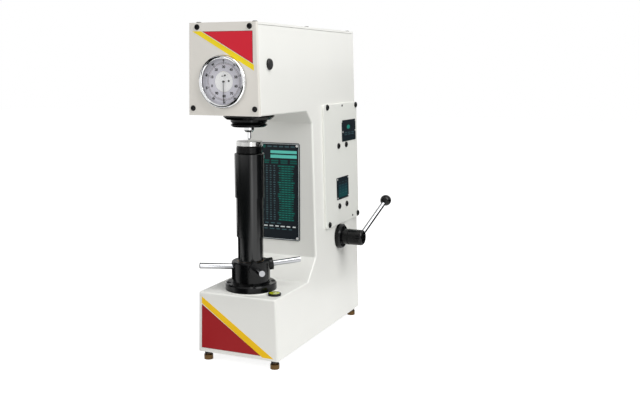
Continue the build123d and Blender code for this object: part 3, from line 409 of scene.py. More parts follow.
amber_paint = screen_paint("paint_stripe_amber", "FFD21C", "FAC518")
stripe = [(-75.7, 96.3), (53.1, 4.7), (76.6, 4.7), (-75.3, 109.4)]
sheet("base_stripe_amber", [stripe], base_front, amber_paint)
line = [(-78.4, 6.9), (50.4, 6.9), (-75.8, 95.4)]
sheet("base_line_pale", [line], base_front, pale_paint, lift=line_lift)
edge = [(-77.9, 7.9), (49.4, 7.9), (-75.4, 94.2)]
sheet("base_edge_maroon", [edge], base_front, edge_paint, lift=edge_lift)
red = [(-77.5, 8.5), (48.2, 8.5), (-75.1, 93.2)]
sheet("base_triangle_red", [red], base_front, dark_red_paint, lift=top_lift)
print("painted stripes on head and base")

# %% [markdown]
# Dial divisions and knurls are one shape repeated round a circle, which is what Geometry Nodes are for.
# The tree makes its points by index: point number i sits at the angle start + i * step, and a small box is
# instanced there, turned to face the centre.  A tilt about the radius turns upright ridges into the
# slanting ones of a diamond knurl.

# %% Geometry Nodes: ring of marks
def new_tree(name, inputs):
    """A Geometry Nodes group with named inputs; returns it, its inputs and its output node."""
    tree = bpy.data.node_groups.new(name, "GeometryNodeTree")
    tree.interface.new_socket(name="Geometry", in_out="INPUT", socket_type="NodeSocketGeometry")
    for label, kind in inputs.items():
        tree.interface.new_socket(name=label, in_out="INPUT", socket_type=kind)
    tree.interface.new_socket(name="Geometry", in_out="OUTPUT", socket_type="NodeSocketGeometry")
    given = tree.nodes.new("NodeGroupInput")
    result = tree.nodes.new("NodeGroupOutput")
    return tree, given.outputs, result


def close_tree(tree, given, result, instances):
    """End a tree in Realize Instances and Set Material."""
    real = add_node(tree, "GeometryNodeRealizeInstances", {"Geometry": instances})
    final = add_node(tree, "GeometryNodeSetMaterial", {"Geometry": real.outputs["Geometry"]})
    tree.links.new(given["Material"], final.inputs["Material"])
    tree.links.new(final.outputs["Geometry"], result.inputs["Geometry"])


def run_tree(tree, values, start=None):
    """Evaluate a tree on a start mesh and return the result as a bmesh."""
    holder = bpy.data.objects.new("holder", start or bpy.data.meshes.new("start"))
    bpy.context.scene.collection.objects.link(holder)
    modifier = holder.modifiers.new("nodes", "NODES")
    modifier.node_group = tree
    sockets = {item.name: item.identifier for item in tree.interface.items_tree if item.in_out == "INPUT"}
    for label, value in values.items():
        modifier[sockets[label]] = value
    depsgraph = bpy.context.evaluated_depsgraph_get()
    mesh = bpy.data.meshes.new_from_object(holder.evaluated_get(depsgraph))
    shape = bmesh.new()
    shape.from_mesh(mesh)
    bpy.data.objects.remove(holder)
    bpy.data.meshes.remove(mesh)
    return shape


print("tree tools ready")

# %% The ring tree
whole, number = "NodeSocketInt", "NodeSocketFloat"
vector, material_kind = "NodeSocketVector", "NodeSocketMaterial"
ring_inputs = {"Count": whole, "Radius": number, "Start": number, "Step": number, "Tilt": number}
ring_inputs.update({"Size": vector, "Material": material_kind})
ring_tree, ring_in, ring_out = new_tree("ring_of_marks", ring_inputs)
index = add_node(ring_tree, "GeometryNodeInputIndex").outputs["Index"]
so_far = add_node(ring_tree, "ShaderNodeMath", {0: index, 1: ring_in["Step"]}, operation="MULTIPLY")
past_start = {0: so_far.outputs[0], 1: ring_in["Start"]}
angle = add_node(ring_tree, "ShaderNodeMath", past_start, operation="ADD").outputs[0]
cosine = add_node(ring_tree, "ShaderNodeMath", {0: angle}, operation="COSINE").outputs[0]
sine = add_node(ring_tree, "ShaderNodeMath", {0: angle}, operation="SINE").outputs[0]
direction = add_node(ring_tree, "ShaderNodeCombineXYZ", {"X": cosine, "Y": sine}).outputs["Vector"]
reach = {0: direction, "Scale": ring_in["Radius"]}
spot = add_node(ring_tree, "ShaderNodeVectorMath", reach, operation="SCALE").outputs[0]
points = add_node(ring_tree, "GeometryNodePoints", {"Count": ring_in["Count"], "Position": spot})
facing = add_node(ring_tree, "ShaderNodeCombineXYZ", {"X": ring_in["Tilt"], "Z": angle}).outputs["Vector"]
mark = add_node(ring_tree, "GeometryNodeMeshCube", {"Size": ring_in["Size"]}).outputs["Mesh"]
placing = {"Points": points.outputs["Points"], "Instance": mark, "Rotation": facing}
copies = add_node(ring_tree, "GeometryNodeInstanceOnPoints", placing)
close_tree(ring_tree, ring_in, ring_out, copies.outputs["Instances"])
print("ring tree has", len(ring_tree.nodes), "nodes")


def ring_of_marks(name, matrix, count, radius, size, finish, body, tilt=0.0):
    """Marks clockwise round a circle on a drawing plane, the first one at the top; tilt in degrees."""
    values = {
        "Count": count,
        "Radius": radius,
        "Start": radians(90.0),
        "Step": radians(-360.0 / count),
        "Tilt": radians(tilt),
        "Size": size,
        "Material": finish,
    }
    return place_mesh(name, run_tree(ring_tree, values), matrix, finish, body)


# %% [markdown]
# The dial carries two rings of one hundred divisions, black outside and red-brown inside, with a longer
# black line at every ten.  Both rings of numbers are black.  This part of the dial turns with the bezel, so
# its marks ride on the bezel, while the small counter in the middle stays with the machine.  The inner
# numbers start thirty divisions on from the outer ones, as on most dials of this kind.

# %% Dial divisions
def ink(name, colour, second):
    """Matt printing ink."""
    return enamel(name, colour, second, roughness=0.5, peel_mm=0.8, coat=0.0, specular=0.2)


ink_black = ink("ink_dial_black", "09080A", "0E0C0F")
ink_red = ink("ink_dial_red_brown", "7A2A2C", "702628")
ink_lift = 0.06
dial_ink = dial_front @ Matrix.Translation((0, 0, ink_lift))
ring_of_marks("dial_ticks_fine", dial_ink, 100, 32.8, (2.2, 0.55, 0.06), ink_black, "bezel")
ring_of_marks("dial_ticks_ten", dial_ink, 10, 32.6, (3.4, 1.1, 0.08), ink_black, "bezel")
ring_of_marks("dial_ticks_inner", dial_ink, 100, 30.9, (1.4, 0.4, 0.06), ink_red, "bezel")
counter = dial_ink @ Matrix.Translation((3, 11, 0))
ring_of_marks("dial_counter_ticks", counter, 10, 5.2, (1.1, 0.3, 0.06), ink_black, "root")
dots = [disc(1.8, (9.8, 1.2)), disc(1.1, (-3.4, 9.6))]
sheet("dial_plate_screws", dots, dial_front, ink_black, thick=0.3)
print("dial divided")

# %% [markdown]
# The numbers are set in type, made a little bolder, and laid round the dial.  The outer ones turn with their
# place, and the inner ones stay upright.

# %% Dial numbers
number_thick, number_bold = 0.03, 0.32


def numerals(name, labels, radius, tall, upright):
    """Bold numbers round the dial, joined into one mesh; upright ones do not turn with their place."""
    shape = bmesh.new()
    for i, label in enumerate(labels):
        text = bpy.data.curves.new("numeral", "FONT")
        text.body, text.size = str(label), tall
        text.extrude, text.offset = number_thick, number_bold
        text.align_x, text.align_y = "CENTER", "CENTER"
        text.resolution_u = 3
        holder = bpy.data.objects.new("numeral", text)
        bpy.context.scene.collection.objects.link(holder)
        depsgraph = bpy.context.evaluated_depsgraph_get()
        mesh = bpy.data.meshes.new_from_object(holder.evaluated_get(depsgraph))
        turn = -2 * pi * i / len(labels)
        place = Matrix.Rotation(turn, 4, "Z") @ Matrix.Translation((0, radius, 0))
        mesh.transform(place @ Matrix.Rotation(-turn, 4, "Z") if upright else place)
        shape.from_mesh(mesh)
        bpy.data.objects.remove(holder)
    return place_mesh(name, shape, dial_ink, ink_black, "bezel")


numerals("dial_numbers_outer", range(0, 100, 10), 36.6, 5.2, upright=False)
numerals("dial_numbers_inner", [(i * 10 + 30) % 100 for i in range(10)], 25.6, 6.4, upright=True)
print("dial numbered")

# %% [markdown]
# The bezel is a turned and plated ring: a rounded outer lip that the fingers hold, then a cone that falls
# towards the glass.  Each part of that curve mirrors another part of the room, which is what makes plating
# read as plating, so the ring is turned from a drawn profile in place of the plain CAD one.

# %% Bezel
corner_degrees = 35


def turned(profile, steps=128):
    """A closed profile of (radius, height) turned about z, smooth except at its corners."""
    shape = bmesh.new()
    rings = []
    for radius, z in profile:
        rings.append([shape.verts.new((x, y, z)) for x, y in disc(radius, steps=steps)])
    for low, high in zip(rings, rings[1:] + rings[:1]):
        for i in range(steps):
            j = (i + 1) % steps
            shape.faces.new((low[i], low[j], high[j], high[i])).smooth = True
    bmesh.ops.recalc_face_normals(shape, faces=shape.faces)
    for edge in shape.edges:
        edge.smooth = edge.calc_face_angle(0) < radians(corner_degrees)
    return shape


lip = [(47.2, 0.3), (47.2, 2.4), (46.9, 4.2), (46.2, 5.7), (45.3, 6.6), (44.4, 7.0), (43.8, 6.85)]
lip += [(40.7, 5.45), (40.6, 5.3), (43.3, 5.3), (43.3, 0.3)]
bezel_ring = place_mesh("bezel_ring", turned(lip), head_front, chrome, "bezel")
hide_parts("bezel")
print("bezel turned")

# %% [markdown]
# The pointer is stamped from thin spring sheet: a long tapered hand on a round boss.  It hangs straight
# down at rest and rides on its own body, which the lever drives.

# %% Pointer
pointer_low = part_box("pointer")[0]
hand_thick, hand_behind = 0.5, 0.55
pointer_plane = drawing_plane((0, pointer_low.y / mm + hand_behind, dial_z), along_x, along_z)
needle = [(-0.6, -1.5), (-0.45, -34.8), (0.45, -34.8), (0.6, -1.5)]
hand = sheet(
    "dial_needle",
    [needle, disc(2.0)],
    pointer_plane,
    pointer_black,
    body="pointer",
    thick=hand_thick,
    lift=0.0,
)
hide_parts("pointer")
print("needle at", round(pointer_low.y / mm, 1))

# %% [markdown]
# A load chart is fixed to the column: a title, two bright bars, a heading and a table of forces and
# scales.  Nobody reads it from here, so its words are plain dashes.  A grid of points carries a small box
# each, and a random width per box, from a fixed seed, makes the rows look set in type.

# %% Geometry Nodes: rows of marks
rows_inputs = {"Columns": whole, "Rows": whole, "Column Pitch": number, "Row Pitch": number}
rows_inputs.update({"Shortest": number, "Seed": whole, "Size": vector, "Material": material_kind})
rows_tree, rows_in, rows_out = new_tree("rows_of_marks", rows_inputs)


def span(count, pitch):
    """Whole length of a row of points."""
    steps = add_node(rows_tree, "ShaderNodeMath", {0: rows_in[count], 1: 1.0}, operation="SUBTRACT")
    whole_length = {0: steps.outputs[0], 1: rows_in[pitch]}
    return add_node(rows_tree, "ShaderNodeMath", whole_length, operation="MULTIPLY").outputs[0]


grid = add_node(
    rows_tree,
    "GeometryNodeMeshGrid",
    {
        "Size X": span("Columns", "Column Pitch"),
        "Size Y": span("Rows", "Row Pitch"),
        "Vertices X": rows_in["Columns"],
        "Vertices Y": rows_in["Rows"],
    },
).outputs["Mesh"]
width = add_node(rows_tree, "FunctionNodeRandomValue", data_type="FLOAT")
rows_tree.links.new(rows_in["Shortest"], width.inputs[2])
width.inputs[3].default_value = 1.0
rows_tree.links.new(rows_in["Seed"], width.inputs["Seed"])
stretch = add_node(rows_tree, "ShaderNodeCombineXYZ", {"X": width.outputs[1], "Y": 1.0, "Z": 1.0})
dash = add_node(rows_tree, "GeometryNodeMeshCube", {"Size": rows_in["Size"]}).outputs["Mesh"]
placing = {"Points": grid, "Instance": dash, "Scale": stretch.outputs["Vector"]}
copies = add_node(rows_tree, "GeometryNodeInstanceOnPoints", placing)
close_tree(rows_tree, rows_in, rows_out, copies.outputs["Instances"])
print("rows tree has", len(rows_tree.nodes), "nodes")


row_lift = 0.1


def rows_of_marks(name, matrix, middle, columns, rows, pitch, size, finish, seed, shortest, slot="chart_ink"):
    """Dashes on a grid about a middle point of a drawing plane."""
    values = {
        "Columns": columns,
        "Rows": rows,
        "Column Pitch": pitch[0],
        "Row Pitch": pitch[1],
        "Shortest": shortest,
        "Seed": seed,
        "Size": size,
        "Material": finish,
    }
    place = matrix @ Matrix.Translation((*middle, row_lift))
    return place_mesh(name, run_tree(rows_tree, values), place, finish, "root")


# %% [markdown]
# The chart is printed in three strengths of teal, a grey and a pale ink, so that its parts can be told apart
# from a distance: a border, a title with a round spot, two bars, a heading, four narrow columns, one wide
# column and a footer.  Each row of the wide column is a dark band with brighter words on top of it.

# %% Chart
ink_teal = ink("ink_chart_teal", "6FE0D0", "66D2C4")
ink_deep_teal = ink("ink_chart_deep_teal", "0D5E55", "0C564D")
ink_mid_teal = ink("ink_chart_mid_teal", "238A7B", "1F7E70")
ink_pale = ink("ink_chart_pale", "E2E9E9", "D6DEDE")
ink_grey = ink("ink_chart_grey", "46666C", "3F5D63")
frame_line = [box_outline(-43.4, -98.4, -42.6, 98.4), box_outline(42.6, -98.4, 43.4, 98.4)]
frame_line += [box_outline(-42.6, -98.4, 42.6, -97.6), box_outline(-42.6, 97.6, 42.6, 98.4)]
sheet("chart_border", frame_line, chart_front, ink_pale)
bars = [box_outline(-20, 78.5, 39, 84.5), box_outline(-20, 69, 39, 75.7)]
sheet("chart_bars", bars, chart_front, ink_teal)
rows_of_marks("chart_title", chart_front, (4, 92.5), 5, 1, (13, 1), (10, 2.6, 0.1), ink_grey, 3, 0.6)
sheet("chart_emblem", [disc(3.4, (-34, 92.5))], chart_front, ink_deep_teal)
chart_rows = (
    ("chart_heading", (0, 61.5), 4, 2, (21, 4.4), (18, 3.0, 0.1), ink_deep_teal, 5, 0.7),
    ("chart_left_columns", (-24.5, -2.5), 4, 24, (8.6, 4.8), (5.0, 2.0, 0.1), ink_grey, 7, 0.4),
    ("chart_text", (15, -2.5), 1, 24, (1, 4.8), (39, 3.3, 0.1), ink_deep_teal, 13, 0.6),
    ("chart_words", (15, -2.5), 5, 24, (7.2, 4.8), (5.0, 1.2, 0.2), ink_mid_teal, 37, 0.3),
    ("chart_footer_short", (-16, -65.5), 3, 1, (14, 1), (11, 2.0, 0.1), ink_grey, 17, 0.6),
    ("chart_footer", (0, -71.7), 6, 1, (13, 1), (11, 2.4, 0.1), ink_pale, 19, 0.6),
    ("chart_footer_faint", (-4, -77.5), 5, 1, (14, 1), (11, 1.8, 0.1), ink_grey, 23, 0.6),
)
for name, *rest in chart_rows:
    rows_of_marks(name, chart_front, *rest)
print("chart printed")

# %% [markdown]
# The lower plate on the side is printed in a teal that fades to navy towards its top, as a screen print
# does when two inks are drawn together.  Height in Object coordinates drives the mix between the two.

# %% Fading print
plate_fade, tree, output, place = new_material("ink_plate_fading_teal")
fade_low, fade_high = 0.284, 0.315
rise = add_node(tree, "ShaderNodeSeparateXYZ", {"Vector": place}).outputs["Z"]
fade = add_node(tree, "ShaderNodeMapRange", {"Value": rise, "From Min": fade_low, "From Max": fade_high})
tone = add_node(tree, "ShaderNodeMix", data_type="RGBA")
tree.links.new(fade.outputs["Result"], tone.inputs["Factor"])
tone.inputs["A"].default_value = paint("0D4A4A")
tone.inputs["B"].default_value = paint("0B2530")
shader = add_node(tree, "ShaderNodeBsdfPrincipled", {"Base Color": tone.outputs["Result"], "Roughness": 0.45})
shader.inputs["Specular IOR Level"].default_value = 0.2
tree.links.new(shader.outputs["BSDF"], output.inputs["Surface"])
print("fading print between", fade_low, "and", fade_high)

# %% [markdown]
# Two data plates are riveted to the side cover.  Each gets a dark printed panel, a few dashes for its words
# and one plain shape, an oval above and a fading field below.

# %% Data plates on the side
upper, lower = (160.5, up_side(430.5)), (118.0, up_side(305.0))
over_panel = 0.16
black_field = box_outline(upper[0] - 37.5, upper[1] - 18.5, upper[0] + 37.5, upper[1] + 18.5)
sheet("data_plate_panel", [black_field], side_front, chart_ink)
emblem = [(upper[0] - 4 + 9 * x, upper[1] + 3 + 4.5 * y) for x, y in disc(1)]
sheet("data_plate_spot", [emblem], side_front, ink_mid_teal, lift=over_panel)
spot, lines = (upper[0], upper[1] - 11), (17, 1.2, 0.5)
rows_of_marks("data_plate_lines", side_front, spot, 3, 2, (20, 4), lines, ink_grey, 29, 0.6, "label_ink")
panel = box_outline(lower[0] - 31, lower[1] - 21.5, lower[0] + 31, lower[1] + 21.5)
sheet("scale_plate_panel", [panel], side_front, chart_ink)
field = box_outline(lower[0] - 24, lower[1] - 19, lower[0] + 26, lower[1] + 8)
sheet("scale_plate_field", [field], side_front, plate_fade, lift=over_panel)
spot, lines = (lower[0], lower[1] + 1), (13, 0.9, 0.5)
rows_of_marks("scale_plate_lines", side_front, spot, 3, 5, (17, 6), lines, ink_grey, 31, 0.5, "label_ink")
print("data plates printed")

# %% [markdown]
# Button-head screws hold the covers.  From a step away each is a dark dot with a hexagon socket, which the
# plain CAD discs lack.  One head is modelled as rings of points: a rim, a rounded crown, then a hexagon
# that drops to the socket's floor.  Geometry Nodes put a copy on every place, read from the CAD discs.

# %% Screw head
def hexagon(half_width, angle):
    """Distance from the middle of a hexagon to its edge at an angle; its width is between flats."""
    return half_width / cos((angle % (pi / 3)) - pi / 6)


def screw_head(radius, tall, socket, steps=24):
    """A button head with a hexagon socket, standing on z = 0."""
    crown = [(1, 0), (1, 0.35), (0.93, 0.72), (0.74, 0.96), (0.6, 1)]
    rings = [(radius * wide, tall * up) for wide, up in crown]
    rings += [(None, tall), (None, tall * 0.25)]
    shape = bmesh.new()
    layers = []
    for ring_radius, z in rings:
        layer = []
        for i in range(steps):
            a = 2 * pi * i / steps
            r = hexagon(socket, a) if ring_radius is None else ring_radius
            layer.append(shape.verts.new((r * cos(a), r * sin(a), z)))
        layers.append(layer)
    for low, high in zip(layers, layers[1:]):
        for i in range(steps):
            j = (i + 1) % steps
            shape.faces.new((low[i], low[j], high[j], high[i]))
    shape.faces.new(layers[-1])
    shape.faces.new(layers[0][::-1])
    bmesh.ops.recalc_face_normals(shape, faces=shape.faces)
    mesh = bpy.data.meshes.new("screw_head")
    shape.to_mesh(mesh)
    shape.free()
    return mesh


print("screw head ready")

# %% [markdown]
# The tree for the screws takes a mesh with one point per screw.  Each point carries the way its screw faces
# as a named attribute, and that turns the head before it is put there.

# %% Geometry Nodes: a head on each place
screw_inputs = {"Head": "NodeSocketObject", "Material": material_kind}
screw_tree, screw_in, screw_out = new_tree("heads_on_places", screw_inputs)
normal = add_node(screw_tree, "GeometryNodeInputNamedAttribute", {"Name": "facing"}, data_type="FLOAT_VECTOR")
head = add_node(screw_tree, "GeometryNodeObjectInfo", {"Object": screw_in["Head"]}).outputs["Geometry"]
outward_way = {"Vector": normal.outputs["Attribute"]}
turn = add_node(screw_tree, "FunctionNodeAlignRotationToVector", outward_way, axis="Z")
placing = {"Points": screw_in["Geometry"], "Instance": head, "Rotation": turn.outputs["Rotation"]}
copies = add_node(screw_tree, "GeometryNodeInstanceOnPoints", placing)
close_tree(screw_tree, screw_in, screw_out, copies.outputs["Instances"])
print("screw tree has", len(screw_tree.nodes), "nodes")

# %% [markdown]
# The places come from the CAD: each loose solid in a node of screws is found by walking from corner to
# corner, and its box gives the screw's middle, width and thickness.  The pins on the side are smaller than
# the screws and get heads of their own size.

# %% Screw places
def solids_of(name):
    """The box of each solid in a CAD node, as (lowest, highest) corners in metres, in a fixed order."""
    shape = bmesh.new()
    shape.from_mesh(nodes[name].data)
    bmesh.ops.remove_doubles(shape, verts=shape.verts, dist=1e-6)
    left, boxes = set(shape.verts), []
    while left:
        stack, group = [left.pop()], []
        while stack:
            vertex = stack.pop()
            group.append(vertex.co.copy())
            for edge in vertex.link_edges:
                other = edge.other_vert(vertex)
                if other in left:
                    left.remove(other)
                    stack.append(other)
        boxes.append(tuple(Vector([pick(p[k] for p in group) for k in range(3)]) for pick in (min, max)))
    shape.free()
    return sorted(boxes, key=lambda box: tuple(box[0]))


socket_share = 0.46


def screws(name, node, outward, keep=None, wider=1.0):
    """Detailed heads in place of the CAD discs of a node; outward picks the way each one faces."""
    places, facings, radius, deep = [], [], 0, 1
    for low, high in solids_of(node):
        if keep and not keep(low, high):
            continue
        middle = (low + high) / 2
        facing = outward(middle)
        across = max(high - low)
        thick = min(high - low)
        radius, deep = max(radius, across / 2), min(deep, thick)
        places.append(middle - facing * thick / 2)
        facings.append(facing)
    mesh = bpy.data.meshes.new(name)
    mesh.from_pydata(places, [], [])
    layer = mesh.attributes.new("facing", "FLOAT_VECTOR", "POINT")
    layer.data.foreach_set("vector", [v for f in facings for v in f])
    model = bpy.data.objects.new("head_model", screw_head(radius * wider, deep, radius * socket_share))
    bpy.context.scene.collection.objects.link(model)
    shape = run_tree(screw_tree, {"Head": model, "Material": black_screw}, mesh)
    bpy.data.objects.remove(model)
    print(name, len(places), "heads, radius", round(radius / mm, 2), "mm")
    return place_mesh(name, shape, Matrix.Identity(4), black_screw, "root")


# %% Screws and pins
side_facing = Vector((cos(lean), 0, sin(lean)))
front_face, top_face, rear_face = -0.246, 0.634, 0.2105
widest_pin = 7 * mm


def cover_facing(middle):
    """Front, top or rear, whichever face of the machine the screw stands on."""
    if middle.y < front_face:
        return Vector((0, -1, 0))
    if middle.z > top_face and middle.y < rear_face:
        return Vector((0, 0, 1))
    return Vector((0, 1, 0))


def is_button(low, high):
    """True for a cover screw, false for a small pin."""
    return max(high - low) > widest_pin


def is_pin(low, high):
    """True for a small pin."""
    return not is_button(low, high)


def out_of_side(middle):
    """The way every screw of the side cover faces."""
    return side_facing


cover_heads = screws("cover_screw_heads", "cover_screws", cover_facing)
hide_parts("cover_screws")
side_heads = screws("side_screw_heads", "side_screws", out_of_side, is_button, wider=1.25)
screws("side_pin_heads", "side_screws", out_of_side, is_pin)
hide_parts("side_screws")

# %% [markdown]
# The ring under the anvil is knurled so that fingers can turn it.  A diamond knurl is two sets of slanting
# ridges that cross.  Real ridges stand about a millimetre apart; these are 1.9 mm apart so that they still
# read from across a bench.

# %% Knurled ring
ring_low, ring_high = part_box("anvil_ring")
ring_middle = (ring_low + ring_high) / 2
knurl_plane = Matrix.Translation(ring_middle) @ Matrix.Scale(mm, 4)
smooth_rims, knurl_slant = 4.5, 32
knurl_tall = (ring_high.z - ring_low.z) / mm - smooth_rims
ridge = (0.9, 0.7, knurl_tall)
for name, tilt in (("knurl_left", knurl_slant), ("knurl_right", -knurl_slant)):
    ring_of_marks(name, knurl_plane, 80, 23.9, ridge, black_steel, "screw", tilt)
print("knurl", round(knurl_tall, 1), "mm tall")

# %% [markdown]
# The rim of the anvil carries upright ridges, made by the same tree without a tilt. They are dark steel set
# flush in the bright rim, so their dark lines are painted shade for the grooves between the teeth.

# %% Serrated anvil, grooves in painted shade
anvil_low, anvil_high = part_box("anvil")
anvil_radius = (anvil_high.x - anvil_low.x) / 2 / mm
serration = Matrix.Translation((anvil_low + anvil_high) / 2) @ Matrix.Scale(mm, 4)
tooth_radius, tooth = anvil_radius - 0.45, (0.9, 1.1, 7.6)
# Dark steel teeth flush in the rim: painted shade for the serration's grooves.
ring_of_marks("anvil_serration", serration, 64, tooth_radius, tooth, black_steel, "screw")
print("anvil radius", round(anvil_radius, 1), "z", anvil_low.z, anvil_high.z)

# %% [markdown]
# The spirit level on the base is a cup of tinted fluid under glass with a bubble and a target ring.

# %% Spirit level
def fix_order(shape):
    """Sort corners and faces, since the sphere maker leaves them in an order that changes between runs."""
    corners = sorted(shape.verts, key=lambda v: tuple(round(c, 4) for c in v.co))
    rank = {corner: i for i, corner in enumerate(corners)}
    faces = sorted(shape.faces, key=lambda f: sorted(rank[v] for v in f.verts))
    turn_of = {face: i for i, face in enumerate(faces)}
    shape.verts.sort(key=rank.get)
    shape.faces.sort(key=turn_of.get)


vial_low, vial_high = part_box("level_vial")
vial_middle = (vial_low + vial_high) / 2
level_plane = drawing_plane((vial_middle.x / mm, vial_middle.y / mm, vial_high.z / mm), (1, 0, 0), (0, 1, 0))
bubble_glass = film("glass_level_bubble", "F3F7C8", 0.75, 0.05)
bubble = bmesh.new()
bmesh.ops.create_uvsphere(bubble, u_segments=32, v_segments=16, radius=1.0)
fix_order(bubble)
flatten = Matrix.Translation((0.8, 0.6, 0)) @ Matrix.Diagonal((3.4, 3.4, 0.5, 1))
place_mesh("level_bubble", bubble, level_plane @ flatten, bubble_glass, "root")
ring_of_marks("level_target", level_plane, 48, 4.6, (0.3, 0.62, 0.1), ink_black, "root")
print("level at", [round(v, 4) for v in vial_middle])

# %% [markdown]
# The studio is a pale floor under a white world.  The lamps and the world light the machine at a plain
# level, where a colour comes out about as it is written.  The floor looks white to the camera because it
# adds a little of its own light for camera and mirror rays, on top of the lit paint, so the soft shadow
# under the machine stays.

# %% Floor
def seen_directly(tree):
    """One where a camera, mirror or glass ray arrives, zero for the light that shapes the object."""
    path = add_node(tree, "ShaderNodeLightPath").outputs
    rays = {0: path["Is Camera Ray"], 1: path["Is Glossy Ray"]}
    either = add_node(tree, "ShaderNodeMath", rays, operation="MAXIMUM").outputs[0]
    rays = {0: either, 1: path["Is Transmission Ray"]}
    return add_node(tree, "ShaderNodeMath", rays, operation="MAXIMUM").outputs[0]


floor_paint, tree, output, place = new_material("floor_studio_white")
paper_grain, floor_glow, floor_reach = 0.004, 0.84, 8
paper = add_node(tree, "ShaderNodeTexNoise", {"Vector": place, "Scale": 1 / paper_grain})
grain = add_node(tree, "ShaderNodeBump", {"Height": paper.outputs["Fac"], "Strength": 0.02})
lit = add_node(tree, "ShaderNodeBsdfDiffuse", {"Color": paint("CFCFCE"), "Normal": grain.outputs["Normal"]})
share = {0: seen_directly(tree), 1: floor_glow}
glow = add_node(tree, "ShaderNodeMath", share, operation="MULTIPLY").outputs[0]
own = add_node(tree, "ShaderNodeEmission", {"Color": paint("FFFFFF"), "Strength": glow})
both = add_node(tree, "ShaderNodeAddShader", {0: lit.outputs["BSDF"], 1: own.outputs["Emission"]})
tree.links.new(both.outputs["Shader"], output.inputs["Surface"])
floor_mesh = bpy.data.meshes.new("studio_floor")
corners = box_outline(-floor_reach, -floor_reach, floor_reach, floor_reach)
floor_mesh.from_pydata([(x, y, 0) for x, y in corners], [], [(0, 1, 2, 3)])
floor_mesh.materials.append(floor_paint)
floor = bpy.data.objects.new("studio_floor", floor_mesh)
bpy.context.scene.collection.objects.link(floor)
floor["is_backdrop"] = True
print("floor laid")

# %% World
world = bpy.data.worlds.new("studio")
bpy.context.scene.world = world
world.use_nodes = True
tree = world.node_tree
tree.nodes.clear()
fill_level = 0.31
strength = {"Value": seen_directly(tree), "To Min": fill_level, "To Max": 1.0}
sky_level = add_node(tree, "ShaderNodeMapRange", strength).outputs["Result"]
sky = add_node(tree, "ShaderNodeBackground", {"Color": paint("FFFFFF"), "Strength": sky_level})
tree.links.new(sky.outputs["Background"], tree.nodes.new("ShaderNodeOutputWorld").inputs["Surface"])
print("world fill", fill_level)

# %% [markdown]
# Four soft lamps light the machine.  The strongest, on the right, makes the side of the casting the
# brightest face, a weaker one at the front left opens the front faces, and one above lights the tops.  The
# fourth is a dim, tall and thin strip at the right, which polished and black parts mirror as a narrow line.
# The camera sees none of them.

# %% Lamps
def lamp(name, place, target, size, power):
    """A flat lamp of a width and height, aimed at a point."""
    data = bpy.data.lights.new(name, "AREA")
    data.shape, data.energy = "RECTANGLE", power
    data.size, data.size_y = size
    light = bpy.data.objects.new(name, data)
    light.visible_camera = False
    aim = (Vector(target) - Vector(place)).to_track_quat("-Z", "Y")
    light.location = place
    light.rotation_mode, light.rotation_quaternion = "QUATERNION", aim
    bpy.context.scene.collection.objects.link(light)


soft_box, strip_box = (1.6, 1.6), (0.12, 0.7)
lamp("key_right", (2.6, -0.9, 2.2), (0, 0, 0.5), soft_box, 45)
lamp("front_left", (-1.6, -2.4, 1.3), (0, -0.1, 0.3), soft_box, 20)
lamp("top", (1.2, -0.5, 2.7), (0, 0, 0.3), soft_box, 30)
lamp("strip", (1.06, -1.2, 0.36), (0, -0.1, 0.30), strip_box, 1.0)
print("lamps set")

# %% [markdown]
# In a white studio plated metal mirrors white and vanishes.  Photographers stand black cards around it,
# which give it the dark lines that make it read as metal.  These ten cards are seen by mirror rays alone,
# so they cast no shadow and don't darken the matt surfaces.

# %% Dark cards for the mirrors
card_black, tree, output = new_material("card_black")[:3]
dull = add_node(tree, "ShaderNodeBsdfDiffuse", {"Color": paint("1A1A1A")})
tree.links.new(dull.outputs["BSDF"], output.inputs["Surface"])


def hide_but_mirrors(name, mesh):
    """Stand a card in the studio that only glossy rays see."""
    mesh.materials.append(card_black)
    card = bpy.data.objects.new(name, mesh)
    bpy.context.scene.collection.objects.link(card)
    card.visible_camera = card.visible_shadow = False
    card.visible_diffuse = card.visible_transmission = False
    card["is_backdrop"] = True


def dark_card(name, low, high):
    """An upright card between two corners."""
    mesh = bpy.data.meshes.new(name)
    corners = [low, (*high[:2], low[2]), high, (*low[:2], high[2])]
    mesh.from_pydata(corners, [], [(0, 1, 2, 3)])
    hide_but_mirrors(name, mesh)


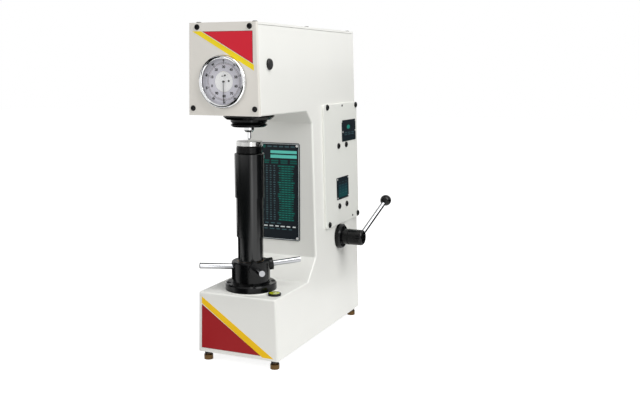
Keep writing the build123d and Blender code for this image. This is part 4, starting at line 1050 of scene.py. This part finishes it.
dark_card("card_front", (-1.15, -0.75, 0.0), (0.75, -1.45, 0.28))
dark_card("card_left_low", (-1.45, 0.15, 0.0), (-1.15, -0.75, 0.22))
dark_card("card_left_high", (-1.45, 0.25, 0.60), (-1.15, -0.85, 1.5))
dark_card("card_front_high", (-1.15, -0.85, 0.55), (-0.2, -1.35, 1.5))
dark_card("card_right", (1.35, -0.25, 0.0), (1.35, 1.3, 0.6))
dark_card("card_behind", (-1.3, 1.35, 0.0), (1.3, 1.35, 0.6))
print("upright cards set")

# %% Level cards
just_above_floor, overhead = 0.002, 1.6


def flat_card(name, x0, y0, x1, y1, z):
    """A level card between two corners at a height."""
    mesh = bpy.data.meshes.new(name)
    mesh.from_pydata([(x, y, z) for x, y in box_outline(x0, y0, x1, y1)], [], [(0, 1, 2, 3)])
    hide_but_mirrors(name, mesh)


flat_card("card_floor", -1.3, -0.33, -0.1, 1.3, just_above_floor)
flat_card("card_floor_front", -0.5, -1.1, 0.15, -0.55, just_above_floor)
flat_card("card_floor_right", 0.25, 0.4, 1.35, 1.35, just_above_floor)
flat_card("card_above", -1.3, -0.6, -0.25, 1.0, overhead)
print("level cards set")

# %% [markdown]
# The camera stands a little above the dial, to the right of the front, and looks slightly down.  Its lens
# and place were worked out from the straight edges of the casting.

# %% Camera
camera_data = bpy.data.cameras.new("camera")
camera_data.lens, camera_data.sensor_width = 47.85, 36.0
camera = bpy.data.objects.new("camera", camera_data)
forward = Vector((-0.3932, 0.9053, -0.1609))
camera.rotation_mode = "QUATERNION"
camera.rotation_quaternion = forward.to_track_quat("-Z", "Y")
camera.location = (0.7618, -1.5712, 0.5570)
bpy.context.scene.collection.objects.link(camera)
bpy.context.scene.camera = camera
bpy.context.scene.view_settings.view_transform = "Standard"
print("camera at", [round(v, 3) for v in camera.location])

# %% [markdown]
# The last cell compares the dressed machine with the bare CAD. Both boxes should agree, since nothing added
# here stands out beyond the CAD's outermost faces.

visual_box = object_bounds()
as_lists = lambda box: [[round(float(v), 6) for v in corner] for corner in box]
{"cad": as_lists(cad_box), "visual": as_lists(visual_box)}
print("visual model", as_lists(visual_box))
